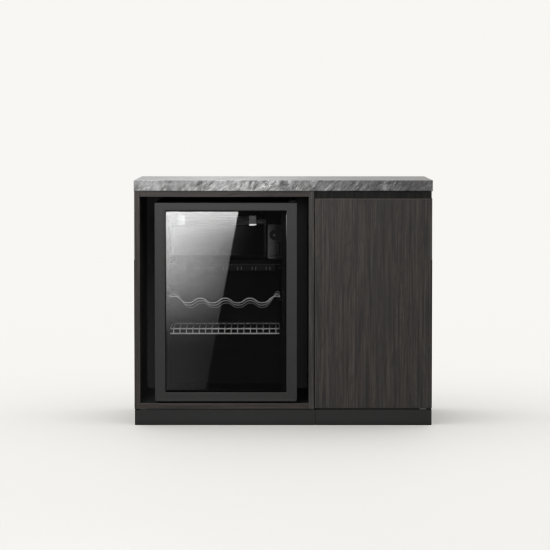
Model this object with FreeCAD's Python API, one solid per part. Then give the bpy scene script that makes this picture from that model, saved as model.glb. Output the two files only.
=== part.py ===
import FreeCAD, Part
import math
import os

V = FreeCAD.Vector
X = V(1, 0, 0)
Y = V(0, 1, 0)
Z = V(0, 0, 1)

# Minibar unit: a stone top on two joined modules. The left one is an open bay that holds a
# glass-door fridge, the right one a cupboard with a handleless door and a finger channel.
# Millimetres. The origin is at the middle of the footprint, on the floor. +X is to the right
# of someone who faces the unit, +Y goes to the back, +Z is up.

# Whole unit
unit_width = 980.0
unit_height = 806.0
stone_thickness = 36.0
stone_overhang = 1.0
stone_arris = 1.2
overrun = 2.0
seat_gap = 0.3
screw_clearance = 0.3
pin_clearance = 0.08
bend_step = math.radians(58)
flat_share = 0.5
wire_sides = 8
thin_wire_sides = 6
small_sides = 12
turned_sides = 24

# Boards of the two modules
board = 18.0
back_board = 8.0
back_inset = 10.0
groove_depth = 6.0
bay_module_width = 591.0
cord_hole_width = 120.0
cord_hole_height = 150.0
cord_hole_radius = 20.0
vent_slot_width = 10.0
vent_slot_height = 90.0
vent_slot_count = 9
vent_slot_pitch = 42.0
vent_slot_drop = 40.0

# Base
plinth_height = 50.0
plinth_shadow_gap = 3.0
plinth_inset = 3.0
plinth_side_inset = 1.0
plinth_board = 16.0
plinth_joint_gap = 1.0
plinth_split_offset = 4.0
plinth_back_inset = 40.0

# Cupboard
door_board = 18.0
door_back_gap = 3.5
door_left_reveal = 2.5
door_right_reveal = 0.5
door_bottom_reveal = 3.5
finger_gap = 24.5
finger_depth = 25.0
finger_channel_height = 70.0
finger_ledge = 12.0
door_edge_radius = 0.8
door_finger_bevel = 5.0
shelf_height = 345.0
shelf_side_gap = 1.0
shelf_front_inset = 22.0
shelf_back_gap = 2.0
shelf_pin_radius = 2.5
shelf_pin_stand = 9.0
shelf_pin_sunk = 10.0
shelf_pin_front = 60.0
shelf_pin_back = 60.0
bolt_radius = 3.0
bolt_head_radius = 8.0
bolt_head_height = 2.0
bolt_front_inset = 60.0
bolt_end_inset = 70.0

# Pivot hinges and catch of the cupboard door
pivot_from_edge = 6.5
pivot_from_back = 6.0
pivot_radius = 2.5
pivot_length = 12.0
pivot_plate = 2.2
pivot_plate_width = 12.0
pivot_plate_gap = 0.6
pivot_leaf_height = 34.0
bumper_radius = 5.0
bumper_inset = 30.0
magnet_width = 12.0
magnet_depth = 22.0
magnet_height = 46.0
strike_thickness = 1.6
strike_width = 14.0

# Fridge: outside
fridge_left_gap = 49.0
fridge_door_width = 467.0
fridge_door_head_room = 21.0
fridge_door_thickness = 45.0
fridge_door_floor_gap = 2.0
fridge_body_width = 460.0
fridge_body_depth = 396.0
fridge_head_room = 19.0
fridge_room_behind = 36.0
fridge_foot_height = 5.0
fridge_foot_radius = 17.0
fridge_foot_inset = 38.0
gasket_thickness = 3.0
shell_sheet = 0.8
liner_sheet = 1.6

# Fridge: walls round the cavity
wall_left = 32.0
wall_right = 46.5
wall_top = 35.0
wall_bottom = 32.0
wall_back = 40.0
liner_corner = 14.0
niche_depth = 130.0
niche_height_share = 174 / 657
hump_wall = 32.0
rib_reach = 14.0
rib_height = 9.0
rib_bevel = 4.0
rib_front_inset = 14.0
rib_back_inset = 20.0

# Fridge door
frame_side = 34.0
frame_top = 24.0
frame_bottom = 34.5
frame_lip = 6.0
frame_depth = 37.0
frame_corner_radius = 15.0
frame_edge_radius = 1.2
rebate = 10.0
glass_thickness = 4.0
glass_edge_gap = 1.5
spacer_depth = 12.0
spacer_top_view = 4.4
spacer_bottom_view = 7.0
spacer_side_view = 2.5
inner_frame_inset = 3.0
gasket_inset = 15.0
gasket_width = 12.0
gasket_groove = 3.0
gasket_groove_width = 4.0

# Fridge door hinges
hinge_from_edge = 12.0
hinge_pin_radius = 3.0
hinge_pin_length = 13.0
hinge_plate = 3.0
hinge_plate_width = 30.0
hinge_plate_back = 44.0
hinge_hole_floor = 1.5
hinge_notch_side = 16.0
hinge_notch_front = 19.5
hinge_notch_gap = 1.0
hinge_screw_radius = 2.0
hinge_screw_head_radius = 4.0
hinge_screw_head = 2.0
hinge_screw_first = 12.0
hinge_screw_pitch = 20.0
hinge_cover_height = 5.0
hinge_cover_wall = 1.5
hinge_cover_margin = 3.0
hinge_cover_radius = 2.0

# Icebox with its flap
icebox_left_gap = 6.5
icebox_width = 323.0
icebox_front = 165.0
icebox_bottom_drop = 153.0
icebox_top_drop = 27.0
icebox_sheet = 1.6
icebox_back_gap = 12.0
icebox_corner = 12.0
hanger_radius = 6.0
hanger_inset = 40.0
front_frame_depth = 8.0
front_frame_rail = 15.0
front_frame_side = 7.0
front_frame_sill = 6.0
channel_bead_height = 1.2
channel_bead_width = 6.0
channel_pitch = 34.0
flap_side_gap = 8.0
flap_thickness = 2.0
flap_bead_radius = 2.5
flap_bead_drop = 21.0
flap_sill_gap = 4.0
flap_lip = 7.0
flap_rib_drop = 13.0
flap_rib_height = 1.0
clip_width = 22.0
clip_wall = 1.8
clip_mouth = 1.3
clip_hook = 12.0
clip_plate = 2.4
clip_tab = 12.0
clip_place_shares = (0.125, 0.86)

# Drip tray
tray_width = 345.0
tray_left_gap = 20.5
tray_back_gap = 26.0
tray_front = 153.0
tray_height = 21.0
tray_wall = 1.8
tray_drop = 24.0
tray_flange = 12.0
tray_corner = 8.0
tray_mark_count = 7
tray_mark_pitch = 47.7
tray_mark_half = 6.0
tray_mark_width = 2.0
tray_mark_height = 11.0
tray_mark_stand = 0.8

# Thermostat and lamp housing
housing_width = 47.0
housing_depth = 92.0
housing_height = 114.0
housing_front = 137.0
housing_top_drop = 43.0
housing_radius = 7.0
knob_radius = 16.0
knob_depth = 12.0
knob_grip = 5.0
knob_grip_width = 5.0
knob_from_left = 22.0
knob_from_top = 35.0
knob_shaft_radius = 3.0
knob_shaft_length = 10.0
knob_taper = 1.5
knob_skirt = 3.0
lens_height = 46.0
lens_width = 34.0
lens_depth = 7.0
lens_from_bottom = 8.0
lens_radius = 5.0

# Wavy bottle rack: its height is a share of the room between the wire shelf and the drip tray
wire_radius = 1.7
frame_wire_radius = 2.2
rack_left_gap = 9.0
rack_width = 367.0
rack_height_share = 108 / 190
rack_front = 99.0
rack_depth = 210.0
wave_count = 4
wave_wires = 3
wave_pitch = 82.7
wave_first_valley = 60.5
wave_valley_share = 21.5 / 108
wave_crest_share = 6.5 / 108
wave_drop_share = 16 / 108
wave_end_drop_share = 11 / 108
wave_bend_radius = 25.0
wave_valley_flat = 12.0
wave_crest_flat = 20.0
wave_end_flat = 14.0
wave_end_stub = 10.0

# Flat wire shelf
shelf_above_hump = 28.0
shelf_wire_front = 84.0
shelf_wire_depth = 225.0
shelf_wire_pitch = 21.2
shelf_wire_count = 17
shelf_lip_drop = 15.0
shelf_lip_bend = 7.0
shelf_corner_bend = 9.0

# Cooling circuit
compressor_radius = 50.0
compressor_height_share = 128 / 174
compressor_from_right = 115.0
compressor_foot_plate = 3.0
compressor_belt_radius = 53.0
compressor_belt_height = 6.0
pot_foot_shares = ((0.76, 0.0), (0.88, 0.03), (0.96, 0.1), (1.0, 0.24))
pot_lid_shares = ((1.0, 0.5), (0.96, 0.32), (0.86, 0.15), (0.7, 0.04), (0.5, 0.0))
mount_radius = 7.0
mount_height = 8.0
mount_spread = 42.0
tray_plate = 2.0
stub_radius = 3.0
stub_length = 10.0
relay_width = 34.0
relay_depth = 36.0
relay_height = 44.0
relay_radius = 4.0
gland_radius = 7.0
gland_tip_radius = 4.5
gland_length = 22.0
gland_collar = 5.0
pan_width = 120.0
pan_depth = 96.0
pan_height = 14.0
pan_wall = 2.0
condenser_width = 400.0
condenser_height_share = 430 / 657
condenser_passes = 8
condenser_tube_radius = 2.4
condenser_wire_radius = 0.9
condenser_wires = 17
condenser_stand = 12.0
condenser_top_drop = 18.0
condenser_bend_share = 0.45
standoff_width = 14.0
drier_radius = 9.0
drier_height = 70.0
drier_from_left = 90.0
pipe_radius = 3.0
pipe_bend = 12.0

# Planes and lines that follow from the sizes above
unit_depth = (2 * stone_overhang + fridge_door_thickness + gasket_thickness + fridge_body_depth
              + fridge_room_behind + back_board + back_inset)
stone_left = -unit_width / 2
stone_right = unit_width / 2
stone_front = -unit_depth / 2
stone_back = unit_depth / 2
left = stone_left + stone_overhang
right = stone_right - stone_overhang
front = stone_front + stone_overhang
back = stone_back - stone_overhang
base_top = plinth_height + plinth_shadow_gap
top = unit_height - stone_thickness
floor_top = base_top + board
ceiling = top - board
back_panel_front = back - back_inset - back_board
back_panel_back = back - back_inset
bay_right = left + bay_module_width
bay_inner_left = left + board
bay_inner_right = bay_right - board
cup_left = bay_right
cup_inner_left = cup_left + board
cup_inner_right = right - board
cup_door_back = front + door_board
cup_front = cup_door_back + door_back_gap
cup_door_left = cup_left + door_left_reveal
cup_door_right = right - door_right_reveal
cup_door_bottom = base_top + door_bottom_reveal
cup_door_top = top - finger_gap
rail_front = cup_door_back + finger_depth
rail_back = rail_front + board
channel_bottom = top - finger_channel_height
cup_pivot_x = cup_door_right - pivot_from_edge
cup_pivot_y = cup_door_back - pivot_from_back
shelf_top = floor_top + shelf_height
shelf_bottom = shelf_top - board

door_left = bay_inner_left + fridge_left_gap
door_right = door_left + fridge_door_width
door_bottom = floor_top + fridge_door_floor_gap
door_top = ceiling - fridge_door_head_room
door_back = front + fridge_door_thickness
body_left = (door_left + door_right - fridge_body_width) / 2
body_right = body_left + fridge_body_width
body_front = door_back + gasket_thickness
body_back = body_front + fridge_body_depth
body_bottom = floor_top + fridge_foot_height
notch_top = body_bottom + hinge_notch_gap
body_top = ceiling - fridge_head_room
cavity_left = body_left + wall_left
cavity_right = body_right - wall_right
cavity_bottom = body_bottom + wall_bottom
cavity_top = body_top - wall_top
cavity_back = body_back - wall_back
flange_back = body_front + liner_sheet
niche_front = body_back - niche_depth
niche_height = (body_top - body_bottom) * niche_height_share
niche_top = body_bottom + niche_height
hump_front = niche_front - hump_wall
hump_top = niche_top + hump_wall

aperture_left = door_left + frame_side
aperture_right = door_right - frame_side
aperture_bottom = door_bottom + frame_bottom
aperture_top = door_top - frame_top
frame_back = front + frame_depth
outer_glass_front = front + frame_lip
outer_glass_back = outer_glass_front + glass_thickness
inner_glass_front = outer_glass_back + spacer_depth
inner_glass_back = inner_glass_front + glass_thickness
hinge_x = door_right - hinge_from_edge
hinge_y = front + fridge_door_thickness / 2

ice_left = cavity_left + icebox_left_gap
ice_right = ice_left + icebox_width
ice_front = front + icebox_front
ice_back = cavity_back - icebox_back_gap
ice_bottom = cavity_top - icebox_bottom_drop
ice_top = cavity_top - icebox_top_drop
ice_frame_front = ice_front - front_frame_depth
bead_y = ice_frame_front - flap_bead_radius - pin_clearance - clip_wall - seat_gap
bead_z = ice_top - flap_bead_drop
flap_bottom = ice_bottom + flap_sill_gap
tray_left = cavity_left + tray_left_gap
tray_right = tray_left + tray_width
tray_front_y = front + tray_front
tray_depth = cavity_back - tray_back_gap - tray_front_y
tray_top_z = ice_bottom - tray_drop
housing_left = cavity_right - housing_width
housing_front_y = front + housing_front
housing_top = cavity_top - housing_top_drop
housing_bottom = housing_top - housing_height
knob_x = housing_left + knob_from_left
knob_z = housing_top - knob_from_top
rack_left = cavity_left + rack_left_gap
rack_right = rack_left + rack_width
rack_front_y = front + rack_front
shelf_front_y = front + shelf_wire_front
shelf_z = hump_top + shelf_above_hump
rack_z = shelf_z + (tray_top_z - tray_height - shelf_z) * rack_height_share
wave_room = rack_z - shelf_z
tray_plate_top = body_bottom + tray_plate
compressor_x = body_right - compressor_from_right
compressor_y = (niche_front + body_back) / 2
compressor_bottom = tray_plate_top + mount_height
compressor_height = niche_height * compressor_height_share
condenser_y = body_back + condenser_stand
condenser_top = body_top - condenser_top_drop
condenser_height = (body_top - body_bottom) * condenser_height_share
condenser_bottom = condenser_top - condenser_height
condenser_left = (body_left + body_right - condenser_width) / 2
condenser_right = condenser_left + condenser_width
drier_x = body_left + drier_from_left


def block(x0, x1, y0, y1, z0, z1):
    return Part.makeBox(x1 - x0, y1 - y0, z1 - z0, V(x0, y0, z0))


def rod(radius, start, end):
    return Part.makeCylinder(radius, (end - start).Length, start, end - start)


def turned(radius, start, end, sides):
    """A round bar with flat facets, along X, Y or Z or any other way."""
    side = X if abs((end - start).x) < abs((end - start).z) + abs((end - start).y) else Z
    return bent_wire([start, end], 0, radius, side, sides)


def joined(shapes):
    whole = shapes[0].multiFuse(shapes[1:]) if len(shapes) > 1 else shapes[0]
    return whole.removeSplitter()


def less(shape, tools):
    return shape.cut(tools).removeSplitter()


def edges_where(shape, test):
    """The straight edges whose two ends pass the test."""
    found = []
    for edge in shape.Edges:
        if len(edge.Vertexes) == 2 and all(test(v.Point) for v in edge.Vertexes):
            found.append(edge)
    return found


def at(value, target):
    return abs(value - target) < seat_gap / 10


def rounded(shape, radius, test):
    return shape.makeFillet(radius, edges_where(shape, test))


def upright_rounded(shape, radius, xs, ys):
    """Round the vertical edges that stand at the given X and Y places."""
    near = lambda p: any(at(p.x, x) for x in xs) and any(at(p.y, y) for y in ys)
    picked = []
    for edge in edges_where(shape, near):
        ends = [v.Point for v in edge.Vertexes]
        if at(ends[0].x, ends[1].x) and at(ends[0].y, ends[1].y):
            picked.append(edge)
    return shape.makeFillet(radius, picked)


def ring(outer, hole, y0, y1):
    """A flat frame in the XZ plane: outer and hole are (x0, x1, z0, z1)."""
    body = block(outer[0], outer[1], y0, y1, outer[2], outer[3])
    gap = block(hole[0], hole[1], y0 - overrun, y1 + overrun, hole[2], hole[3])
    return body.cut(gap)


def skin(rings):
    """A closed solid over rings of corners, with flat faces from each ring to the next."""
    faces = [Part.Face(Part.makePolygon(ring + ring[:1])) for ring in (rings[0], rings[-1])]
    for low, high in zip(rings, rings[1:]):
        for i in range(len(low)):
            j = (i + 1) % len(low)
            faces.append(Part.Face(Part.makePolygon([low[i], low[j], high[j], high[i], low[i]])))
    solid = Part.Solid(Part.Shell(faces))
    if solid.Volume < 0:
        solid.reverse()
    return solid


def lathe(profile, foot, sides):
    """A turned piece with flat facets: the profile is (radius, height) above the foot."""
    rings = []
    for radius, height in profile:
        turns = [2 * math.pi * (i + flat_share) / sides for i in range(sides)]
        rings.append([foot + V(radius * math.cos(a), radius * math.sin(a), height) for a in turns])
    return skin(rings)


def bent_points(points, bend):
    """The points of a wire's centre line, with a few chords round each of its turns. A turn with
    too little room for the bend takes the largest one that fits."""
    line = [points[0]]
    for i in range(1, len(points) - 1):
        before = points[i - 1] - points[i]
        after = points[i + 1] - points[i]
        half = before.getAngle(after) / 2
        turn = math.pi - 2 * half
        radius = min(bend, min(before.Length, after.Length) / 2 * math.tan(half))
        before.normalize()
        after.normalize()
        centre = points[i] + (before + after).normalize() * (radius / math.sin(half))
        first = points[i] + before * (radius / math.tan(half)) - centre
        last = points[i] + after * (radius / math.tan(half)) - centre
        chords = math.ceil(turn / bend_step)
        for k in range(chords + 1):
            share = k / chords
            arm = (first * math.sin((1 - share) * turn) + last * math.sin(share * turn))
            line.append(centre + arm * (1 / math.sin(turn)))
    line.append(points[-1])
    return [p for i, p in enumerate(line) if i == 0 or (p - line[i - 1]).Length > seat_gap / 10]


def bent_wire(points, bend, radius, flat, sides):
    """A wire or tube with flat facets, one of them square to the direction flat."""
    line = bent_points(points, bend)
    along = (line[1] - line[0]).normalize()
    across = along.cross(flat).normalize()
    reach = radius / math.cos(math.pi / sides)
    turns = [2 * math.pi * (i + flat_share) / sides for i in range(sides)]
    ring = [line[0] + flat * (reach * math.cos(a)) + across * (reach * math.sin(a)) for a in turns]
    rings = [ring]
    for i in range(1, len(line)):
        along = (line[i] - line[i - 1]).normalize()
        normal = along
        if i + 1 < len(line):
            normal = along + (line[i + 1] - line[i]).normalize()
        moved = []
        for corner in rings[-1]:
            travel = (line[i] - corner).dot(normal) / along.dot(normal)
            moved.append(corner + along * travel)
        rings.append(moved)
    return skin(rings)


# Stone top and boards


def stone_top():
    slab = block(stone_left, stone_right, stone_front, stone_back, top, unit_height)
    rim = edges_where(slab, lambda p: at(p.z, unit_height))
    return slab.makeFillet(stone_arris, rim)


def back_grooves():
    """One cutter each for the bay's and the cupboard's back panel, in their grooves."""
    bay = block(bay_inner_left - groove_depth, bay_inner_right + groove_depth,
                back_panel_front, back_panel_back,
                floor_top - groove_depth, ceiling + groove_depth)
    cupboard = block(cup_inner_left - groove_depth, cup_inner_right + groove_depth,
                     back_panel_front, back_panel_back,
                     floor_top - groove_depth, ceiling + groove_depth)
    return bay, cupboard


def bolt_places():
    depths = (cup_front + bolt_front_inset, back_panel_front - bolt_front_inset)
    heights = (base_top + bolt_end_inset, channel_bottom - bolt_end_inset)
    return [(y, z) for y in depths for z in heights]


def bolt_holes():
    holes = []
    for y, z in bolt_places():
        start = V(bay_inner_right - overrun, y, z)
        end = V(cup_inner_left + overrun, y, z)
        holes.append(turned(bolt_radius + screw_clearance, start, end, small_sides))
    return holes


def finger_notch(x0, x1):
    """The cut in a cupboard side that the finger channel lies in."""
    return block(x0 - overrun, x1 + overrun, cup_front - overrun, rail_back,
                 channel_bottom, top + overrun)


def shelf_pin_places():
    return (cup_front + shelf_pin_front, back_panel_front - shelf_pin_back)


def shelf_pin_holes(wall, into):
    holes = []
    for y in shelf_pin_places():
        start = V(wall, y, shelf_bottom - seat_gap - shelf_pin_radius)
        end = start + X * (into * (shelf_pin_sunk + seat_gap))
        holes.append(turned(shelf_pin_radius + screw_clearance, start, end, small_sides))
    return holes


def bay_panels():
    groove = back_grooves()[0]
    boards = {
        "bay_left_side": block(left, bay_inner_left, front, back, base_top, top),
        "bay_right_side": block(bay_inner_right, bay_right, front, back, base_top, top),
        "bay_top_panel": block(bay_inner_left, bay_inner_right, front, back, ceiling, top),
        "bay_bottom_panel": block(bay_inner_left, bay_inner_right, front, back, base_top, floor_top),
    }
    cut = {name: less(shape, [groove]) for name, shape in boards.items()}
    cut["bay_right_side"] = less(cut["bay_right_side"], bolt_holes())
    return cut


def bay_back_panel():
    """Grooved in all round, with slots at the top and a hole for the cord at the bottom."""
    panel = back_grooves()[0]
    middle = (bay_inner_left + bay_inner_right) / 2
    hole = block(middle - cord_hole_width / 2, middle + cord_hole_width / 2,
                 back_panel_front - overrun, back_panel_back + overrun,
                 floor_top, floor_top + cord_hole_height)
    hole = hole.makeFillet(cord_hole_radius, [
        e for e in hole.Edges
        if all(at(v.Point.z, floor_top + cord_hole_height) for v in e.Vertexes)
        and at(e.Vertexes[0].Point.x, e.Vertexes[1].Point.x)])
    cuts = [hole]
    slot_top = ceiling - vent_slot_drop
    for i in range(vent_slot_count):
        x = middle + (i - (vent_slot_count - 1) / 2) * vent_slot_pitch
        slot = block(x - vent_slot_width / 2, x + vent_slot_width / 2,
                     back_panel_front - overrun, back_panel_back + overrun,
                     slot_top - vent_slot_height, slot_top)
        cuts.append(slot)
    return less(panel, cuts)


def cupboard_panels():
    groove = back_grooves()[1]
    boards = {
        "cupboard_left_side": block(cup_left, cup_inner_left, cup_front, back, base_top, top),
        "cupboard_right_side": block(cup_inner_right, right, cup_front, back, base_top, top),
        "cupboard_top_panel": block(cup_inner_left, cup_inner_right, rail_back, back, ceiling, top),
        "cupboard_bottom_panel": block(cup_inner_left, cup_inner_right, cup_front, back,
                                       base_top, floor_top),
    }
    cut = {name: less(shape, [groove]) for name, shape in boards.items()}
    left_cuts = [finger_notch(cup_left, cup_inner_left)] + bolt_holes()
    left_cuts += shelf_pin_holes(cup_inner_left, -1)
    right_cuts = [finger_notch(cup_inner_right, right), lower_plate_pocket()]
    right_cuts += shelf_pin_holes(cup_inner_right, 1)
    cut["cupboard_left_side"] = less(cut["cupboard_left_side"], left_cuts)
    cut["cupboard_right_side"] = less(cut["cupboard_right_side"], right_cuts)
    return cut


def cupboard_back_panel():
    return back_grooves()[1]


def finger_channel():
    """An L of veneered board that closes the cupboard behind the door's top edge."""
    rail = block(cup_left, right, rail_front, rail_back, channel_bottom, top)
    ledge = block(cup_left, right, cup_front, rail_front, channel_bottom, channel_bottom + finger_ledge)
    return joined([rail, ledge])


def cupboard_shelf():
    return block(cup_inner_left + shelf_side_gap, cup_inner_right - shelf_side_gap,
                 cup_front + shelf_front_inset, back_panel_front - shelf_back_gap,
                 shelf_bottom, shelf_top)


def shelf_pins():
    pins = []
    z = shelf_bottom - seat_gap - shelf_pin_radius
    for wall, out in ((cup_inner_left, 1), (cup_inner_right, -1)):
        for y in shelf_pin_places():
            start = V(wall - out * shelf_pin_sunk, y, z)
            end = V(wall + out * shelf_pin_stand, y, z)
            pins.append(turned(shelf_pin_radius, start, end, small_sides))
    return Part.makeCompound(pins)


def module_bolts():
    span = cup_inner_left - bay_inner_right
    profile = [(bolt_head_radius, -bolt_head_height), (bolt_head_radius, 0), (bolt_radius, 0),
               (bolt_radius, span), (bolt_head_radius, span), (bolt_head_radius, span + bolt_head_height)]
    bolts = []
    for y, z in bolt_places():
        bolt = lathe(profile, V(0, 0, 0), small_sides)
        bolt.rotate(V(0, 0, 0), Y, 90)
        bolt.translate(V(bay_inner_right, y, z))
        bolts.append(bolt)
    return Part.makeCompound(bolts)


# Base


def plinth_split():
    return bay_right + plinth_split_offset


def bay_plinth_front():
    return block(left + plinth_side_inset, plinth_split() - plinth_joint_gap / 2,
                 front + plinth_inset, front + plinth_inset + plinth_board, 0, plinth_height)


def cupboard_plinth_front():
    return block(plinth_split() + plinth_joint_gap / 2, right - plinth_side_inset,
                 front + plinth_inset, front + plinth_inset + plinth_board, 0, plinth_height)


def plinth_back_board():
    y1 = back - plinth_back_inset
    return block(left + plinth_side_inset, right - plinth_side_inset, y1 - plinth_board, y1, 0, base_top)


def plinth_cross_boards():
    y0 = front + plinth_inset + plinth_board
    y1 = back - plinth_back_inset - plinth_board
    starts = (left + plinth_side_inset, plinth_split() - plinth_board / 2,
              right - plinth_side_inset - plinth_board)
    return Part.makeCompound([block(x, x + plinth_board, y0, y1, 0, base_top) for x in starts])


# Cupboard door, its pivot hinges and its catch


def cupboard_door():
    """A flat board, bevelled behind its top edge for the fingers."""
    slab = block(cup_door_left, cup_door_right, front, cup_door_back, cup_door_bottom, cup_door_top)
    bevel = edges_where(slab, lambda p: at(p.y, cup_door_back) and at(p.z, cup_door_top))
    slab = slab.makeChamfer(door_finger_bevel, bevel)
    face = edges_where(slab, lambda p: at(p.y, front))
    slab = slab.makeFillet(door_edge_radius, face)
    bores = []
    for z, way in ((cup_door_bottom, 1), (cup_door_top, -1)):
        start = V(cup_pivot_x, cup_pivot_y, z - way * overrun)
        end = V(cup_pivot_x, cup_pivot_y, z + way * (pivot_length + seat_gap))
        bores.append(rod(pivot_radius + pin_clearance, start, end))
    return less(slab, bores)


def pivot_tongue(z0, z1, y1):
    """A flat tongue with a round nose about the pivot."""
    nose = rod(pivot_plate_width / 2, V(cup_pivot_x, cup_pivot_y, z0), V(cup_pivot_x, cup_pivot_y, z1))
    arm = block(cup_pivot_x - pivot_plate_width / 2, cup_pivot_x + pivot_plate_width / 2,
                cup_pivot_y, y1, z0, z1)
    return [nose, arm]


def lower_plate_top():
    return cup_door_bottom - pivot_plate_gap


def lower_plate_pocket():
    z1 = lower_plate_top()
    return block(cup_pivot_x - pivot_plate_width / 2, cup_pivot_x + pivot_plate_width / 2,
                 cup_front - overrun, cup_front + pivot_leaf_height, z1 - pivot_plate, z1)


def lower_pivot():
    z1 = lower_plate_top()
    pin = rod(pivot_radius, V(cup_pivot_x, cup_pivot_y, z1 - pivot_plate),
              V(cup_pivot_x, cup_pivot_y, cup_door_bottom + pivot_length))
    return joined(pivot_tongue(z1 - pivot_plate, z1, cup_front + pivot_leaf_height) + [pin])


def upper_pivot():
    """Screwed to the finger channel's face, its tongue reaches over the door's top edge."""
    z0 = cup_door_top + pivot_plate_gap
    pin = rod(pivot_radius, V(cup_pivot_x, cup_pivot_y, cup_door_top - pivot_length),
              V(cup_pivot_x, cup_pivot_y, z0 + pivot_plate))
    leaf = block(cup_pivot_x - pivot_plate_width / 2, cup_pivot_x + pivot_plate_width / 2,
                 rail_front - pivot_plate, rail_front,
                 z0 + pivot_plate - pivot_leaf_height, z0 + pivot_plate)
    return joined(pivot_tongue(z0, z0 + pivot_plate, rail_front) + [pin, leaf])


def cupboard_pivot_hinges():
    return Part.makeCompound([lower_pivot(), upper_pivot()])


def door_bumpers():
    x = cup_left + board / 2
    heights = (cup_door_bottom + bumper_inset, channel_bottom - bumper_inset)
    return Part.makeCompound([
        turned(bumper_radius, V(x, cup_front, z), V(x, cup_door_back + seat_gap, z), small_sides)
        for z in heights])


def magnet_span():
    z1 = channel_bottom - bumper_inset
    return z1 - magnet_height, z1


def catch_magnet():
    z0, z1 = magnet_span()
    case = block(cup_inner_left, cup_inner_left + magnet_width, cup_front, cup_front + magnet_depth, z0, z1)
    return rounded(case, magnet_width / 4, lambda p: at(p.x, cup_inner_left + magnet_width))


def catch_strike():
    z0, z1 = magnet_span()
    return block(cup_inner_left, cup_inner_left + strike_width, cup_door_back,
                 cup_door_back + strike_thickness, z0, z1)


# Fridge cabinet


def fridge_outer_shell():
    """One folded sheet: the left side, the top and the right side."""
    outer = block(body_left, body_right, flange_back, body_back, body_bottom, body_top)
    inner = block(body_left + shell_sheet, body_right - shell_sheet, flange_back - overrun,
                  body_back + overrun, body_bottom - overrun, body_top - shell_sheet)
    return outer.cut(inner)


def fridge_back_plate():
    return block(body_left + shell_sheet, body_right - shell_sheet, body_back - shell_sheet,
                 body_back, niche_top + shell_sheet, body_top - shell_sheet)


def fridge_base_plate():
    """The folded floor sheet: it steps up and over the compressor's niche."""
    x0 = body_left + shell_sheet
    x1 = body_right - shell_sheet
    floor = block(x0, x1, flange_back, niche_front, body_bottom, body_bottom + shell_sheet)
    riser = block(x0, x1, niche_front - shell_sheet, niche_front, body_bottom, niche_top + shell_sheet)
    roof = block(x0, x1, niche_front - shell_sheet, body_back, niche_top, niche_top + shell_sheet)
    return joined([floor, riser, roof])


def tub(grow, radius):
    """The cavity with its step over the niche, grown on every side but the front."""
    room = block(cavity_left - grow, cavity_right + grow, body_front - overrun,
                 cavity_back + grow, cavity_bottom - grow, cavity_top + grow)
    step = block(cavity_left - grow - overrun, cavity_right + grow + overrun, hump_front + grow,
                 cavity_back + grow + overrun, cavity_bottom - grow - overrun, hump_top - grow)
    room = room.cut(step)
    if radius:
        room = upright_rounded(room, radius, (cavity_left - grow, cavity_right + grow),
                               (cavity_back + grow,))
    return room


def ribs(height_top, y1):
    """A pair of moulded ledges on the side walls, with their top at the given height."""
    y0 = body_front + rib_front_inset
    pair = []
    for wall, way in ((cavity_left, 1), (cavity_right, -1)):
        outline = [
            (wall - way * liner_sheet / 2, height_top),
            (wall + way * (rib_reach - rib_bevel / 2), height_top),
            (wall + way * rib_reach, height_top - rib_bevel / 2),
            (wall + way * rib_reach, height_top - rib_height + rib_bevel),
            (wall + way * (rib_reach - rib_bevel), height_top - rib_height),
            (wall - way * liner_sheet / 2, height_top - rib_height),
        ]
        corners = [V(x, y0, z) for x, z in outline]
        face = Part.Face(Part.makePolygon(corners + corners[:1]))
        pair.append(face.extrude(Y * (y1 - y0)))
    return pair


def rib_tops():
    return {
        "tray": tray_top_z - tray_wall - seat_gap,
        "rack": rack_z - frame_wire_radius - seat_gap,
        "shelf": shelf_z - frame_wire_radius - seat_gap,
    }


def fridge_inner_liner():
    """A formed tub with a front flange and three pairs of ledges."""
    shell = tub(liner_sheet, liner_corner + liner_sheet).cut(
        block(body_left, body_right, body_front - 2 * overrun, body_front, body_bottom, body_top))
    flange = block(body_left, body_right, body_front, flange_back, body_bottom, body_top)
    whole = joined([shell, flange]).cut(tub(0, liner_corner))
    ledges = []
    for name, z in rib_tops().items():
        ledges += ribs(z, cavity_back - rib_back_inset)
    return joined([whole] + ledges)


def fridge_foam():
    """Foam between the liner and the sheet metal, all round."""
    bulk = block(body_left + shell_sheet, body_right - shell_sheet, flange_back,
                 body_back - shell_sheet, body_bottom + shell_sheet, body_top - shell_sheet)
    niche = block(body_left, body_right, niche_front - shell_sheet, body_back,
                  body_bottom, niche_top + shell_sheet)
    return less(bulk, [niche, tub(liner_sheet, 0)])


def fridge_feet():
    feet = []
    for x in (body_left + fridge_foot_inset, body_right - fridge_foot_inset):
        for y in (body_front + 2 * fridge_foot_inset, niche_front - fridge_foot_inset):
            feet.append(turned(fridge_foot_radius, V(x, y, floor_top), V(x, y, body_bottom), small_sides))
    return Part.makeCompound(feet)


# Fridge door


def aperture(grow=0.0):
    return (aperture_left - grow, aperture_right + grow, aperture_bottom - grow, aperture_top + grow)


def door_outline(inset=0.0):
    return (door_left + inset, door_right - inset, door_bottom + inset, door_top - inset)


def door_frame():
    """A ring with a lip round the window and a deeper pocket behind it for the panes."""
    body = ring(door_outline(), aperture(), front, frame_back)
    pocket = aperture(rebate)
    body = body.cut(block(pocket[0], pocket[1], outer_glass_front, frame_back + overrun,
                          pocket[2], pocket[3]))
    low = lambda p: at(p.z, door_bottom) and (at(p.x, door_left) or at(p.x, door_right))
    body = rounded(body, frame_corner_radius, low)
    rim = [e for e in body.Edges if at(e.BoundBox.YMin, front) and at(e.BoundBox.YMax, front)]
    body = body.makeFillet(frame_edge_radius, rim)
    return less(body, hinge_bores() + [hinge_notch()])


def hinge_notch():
    """Room for the lower bracket's plate in the door's bottom edge, for the whole swing."""
    return block(hinge_x - hinge_notch_side, door_right + overrun, hinge_y - hinge_notch_front,
                 door_back + overrun, door_bottom - overrun, notch_top)


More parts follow.
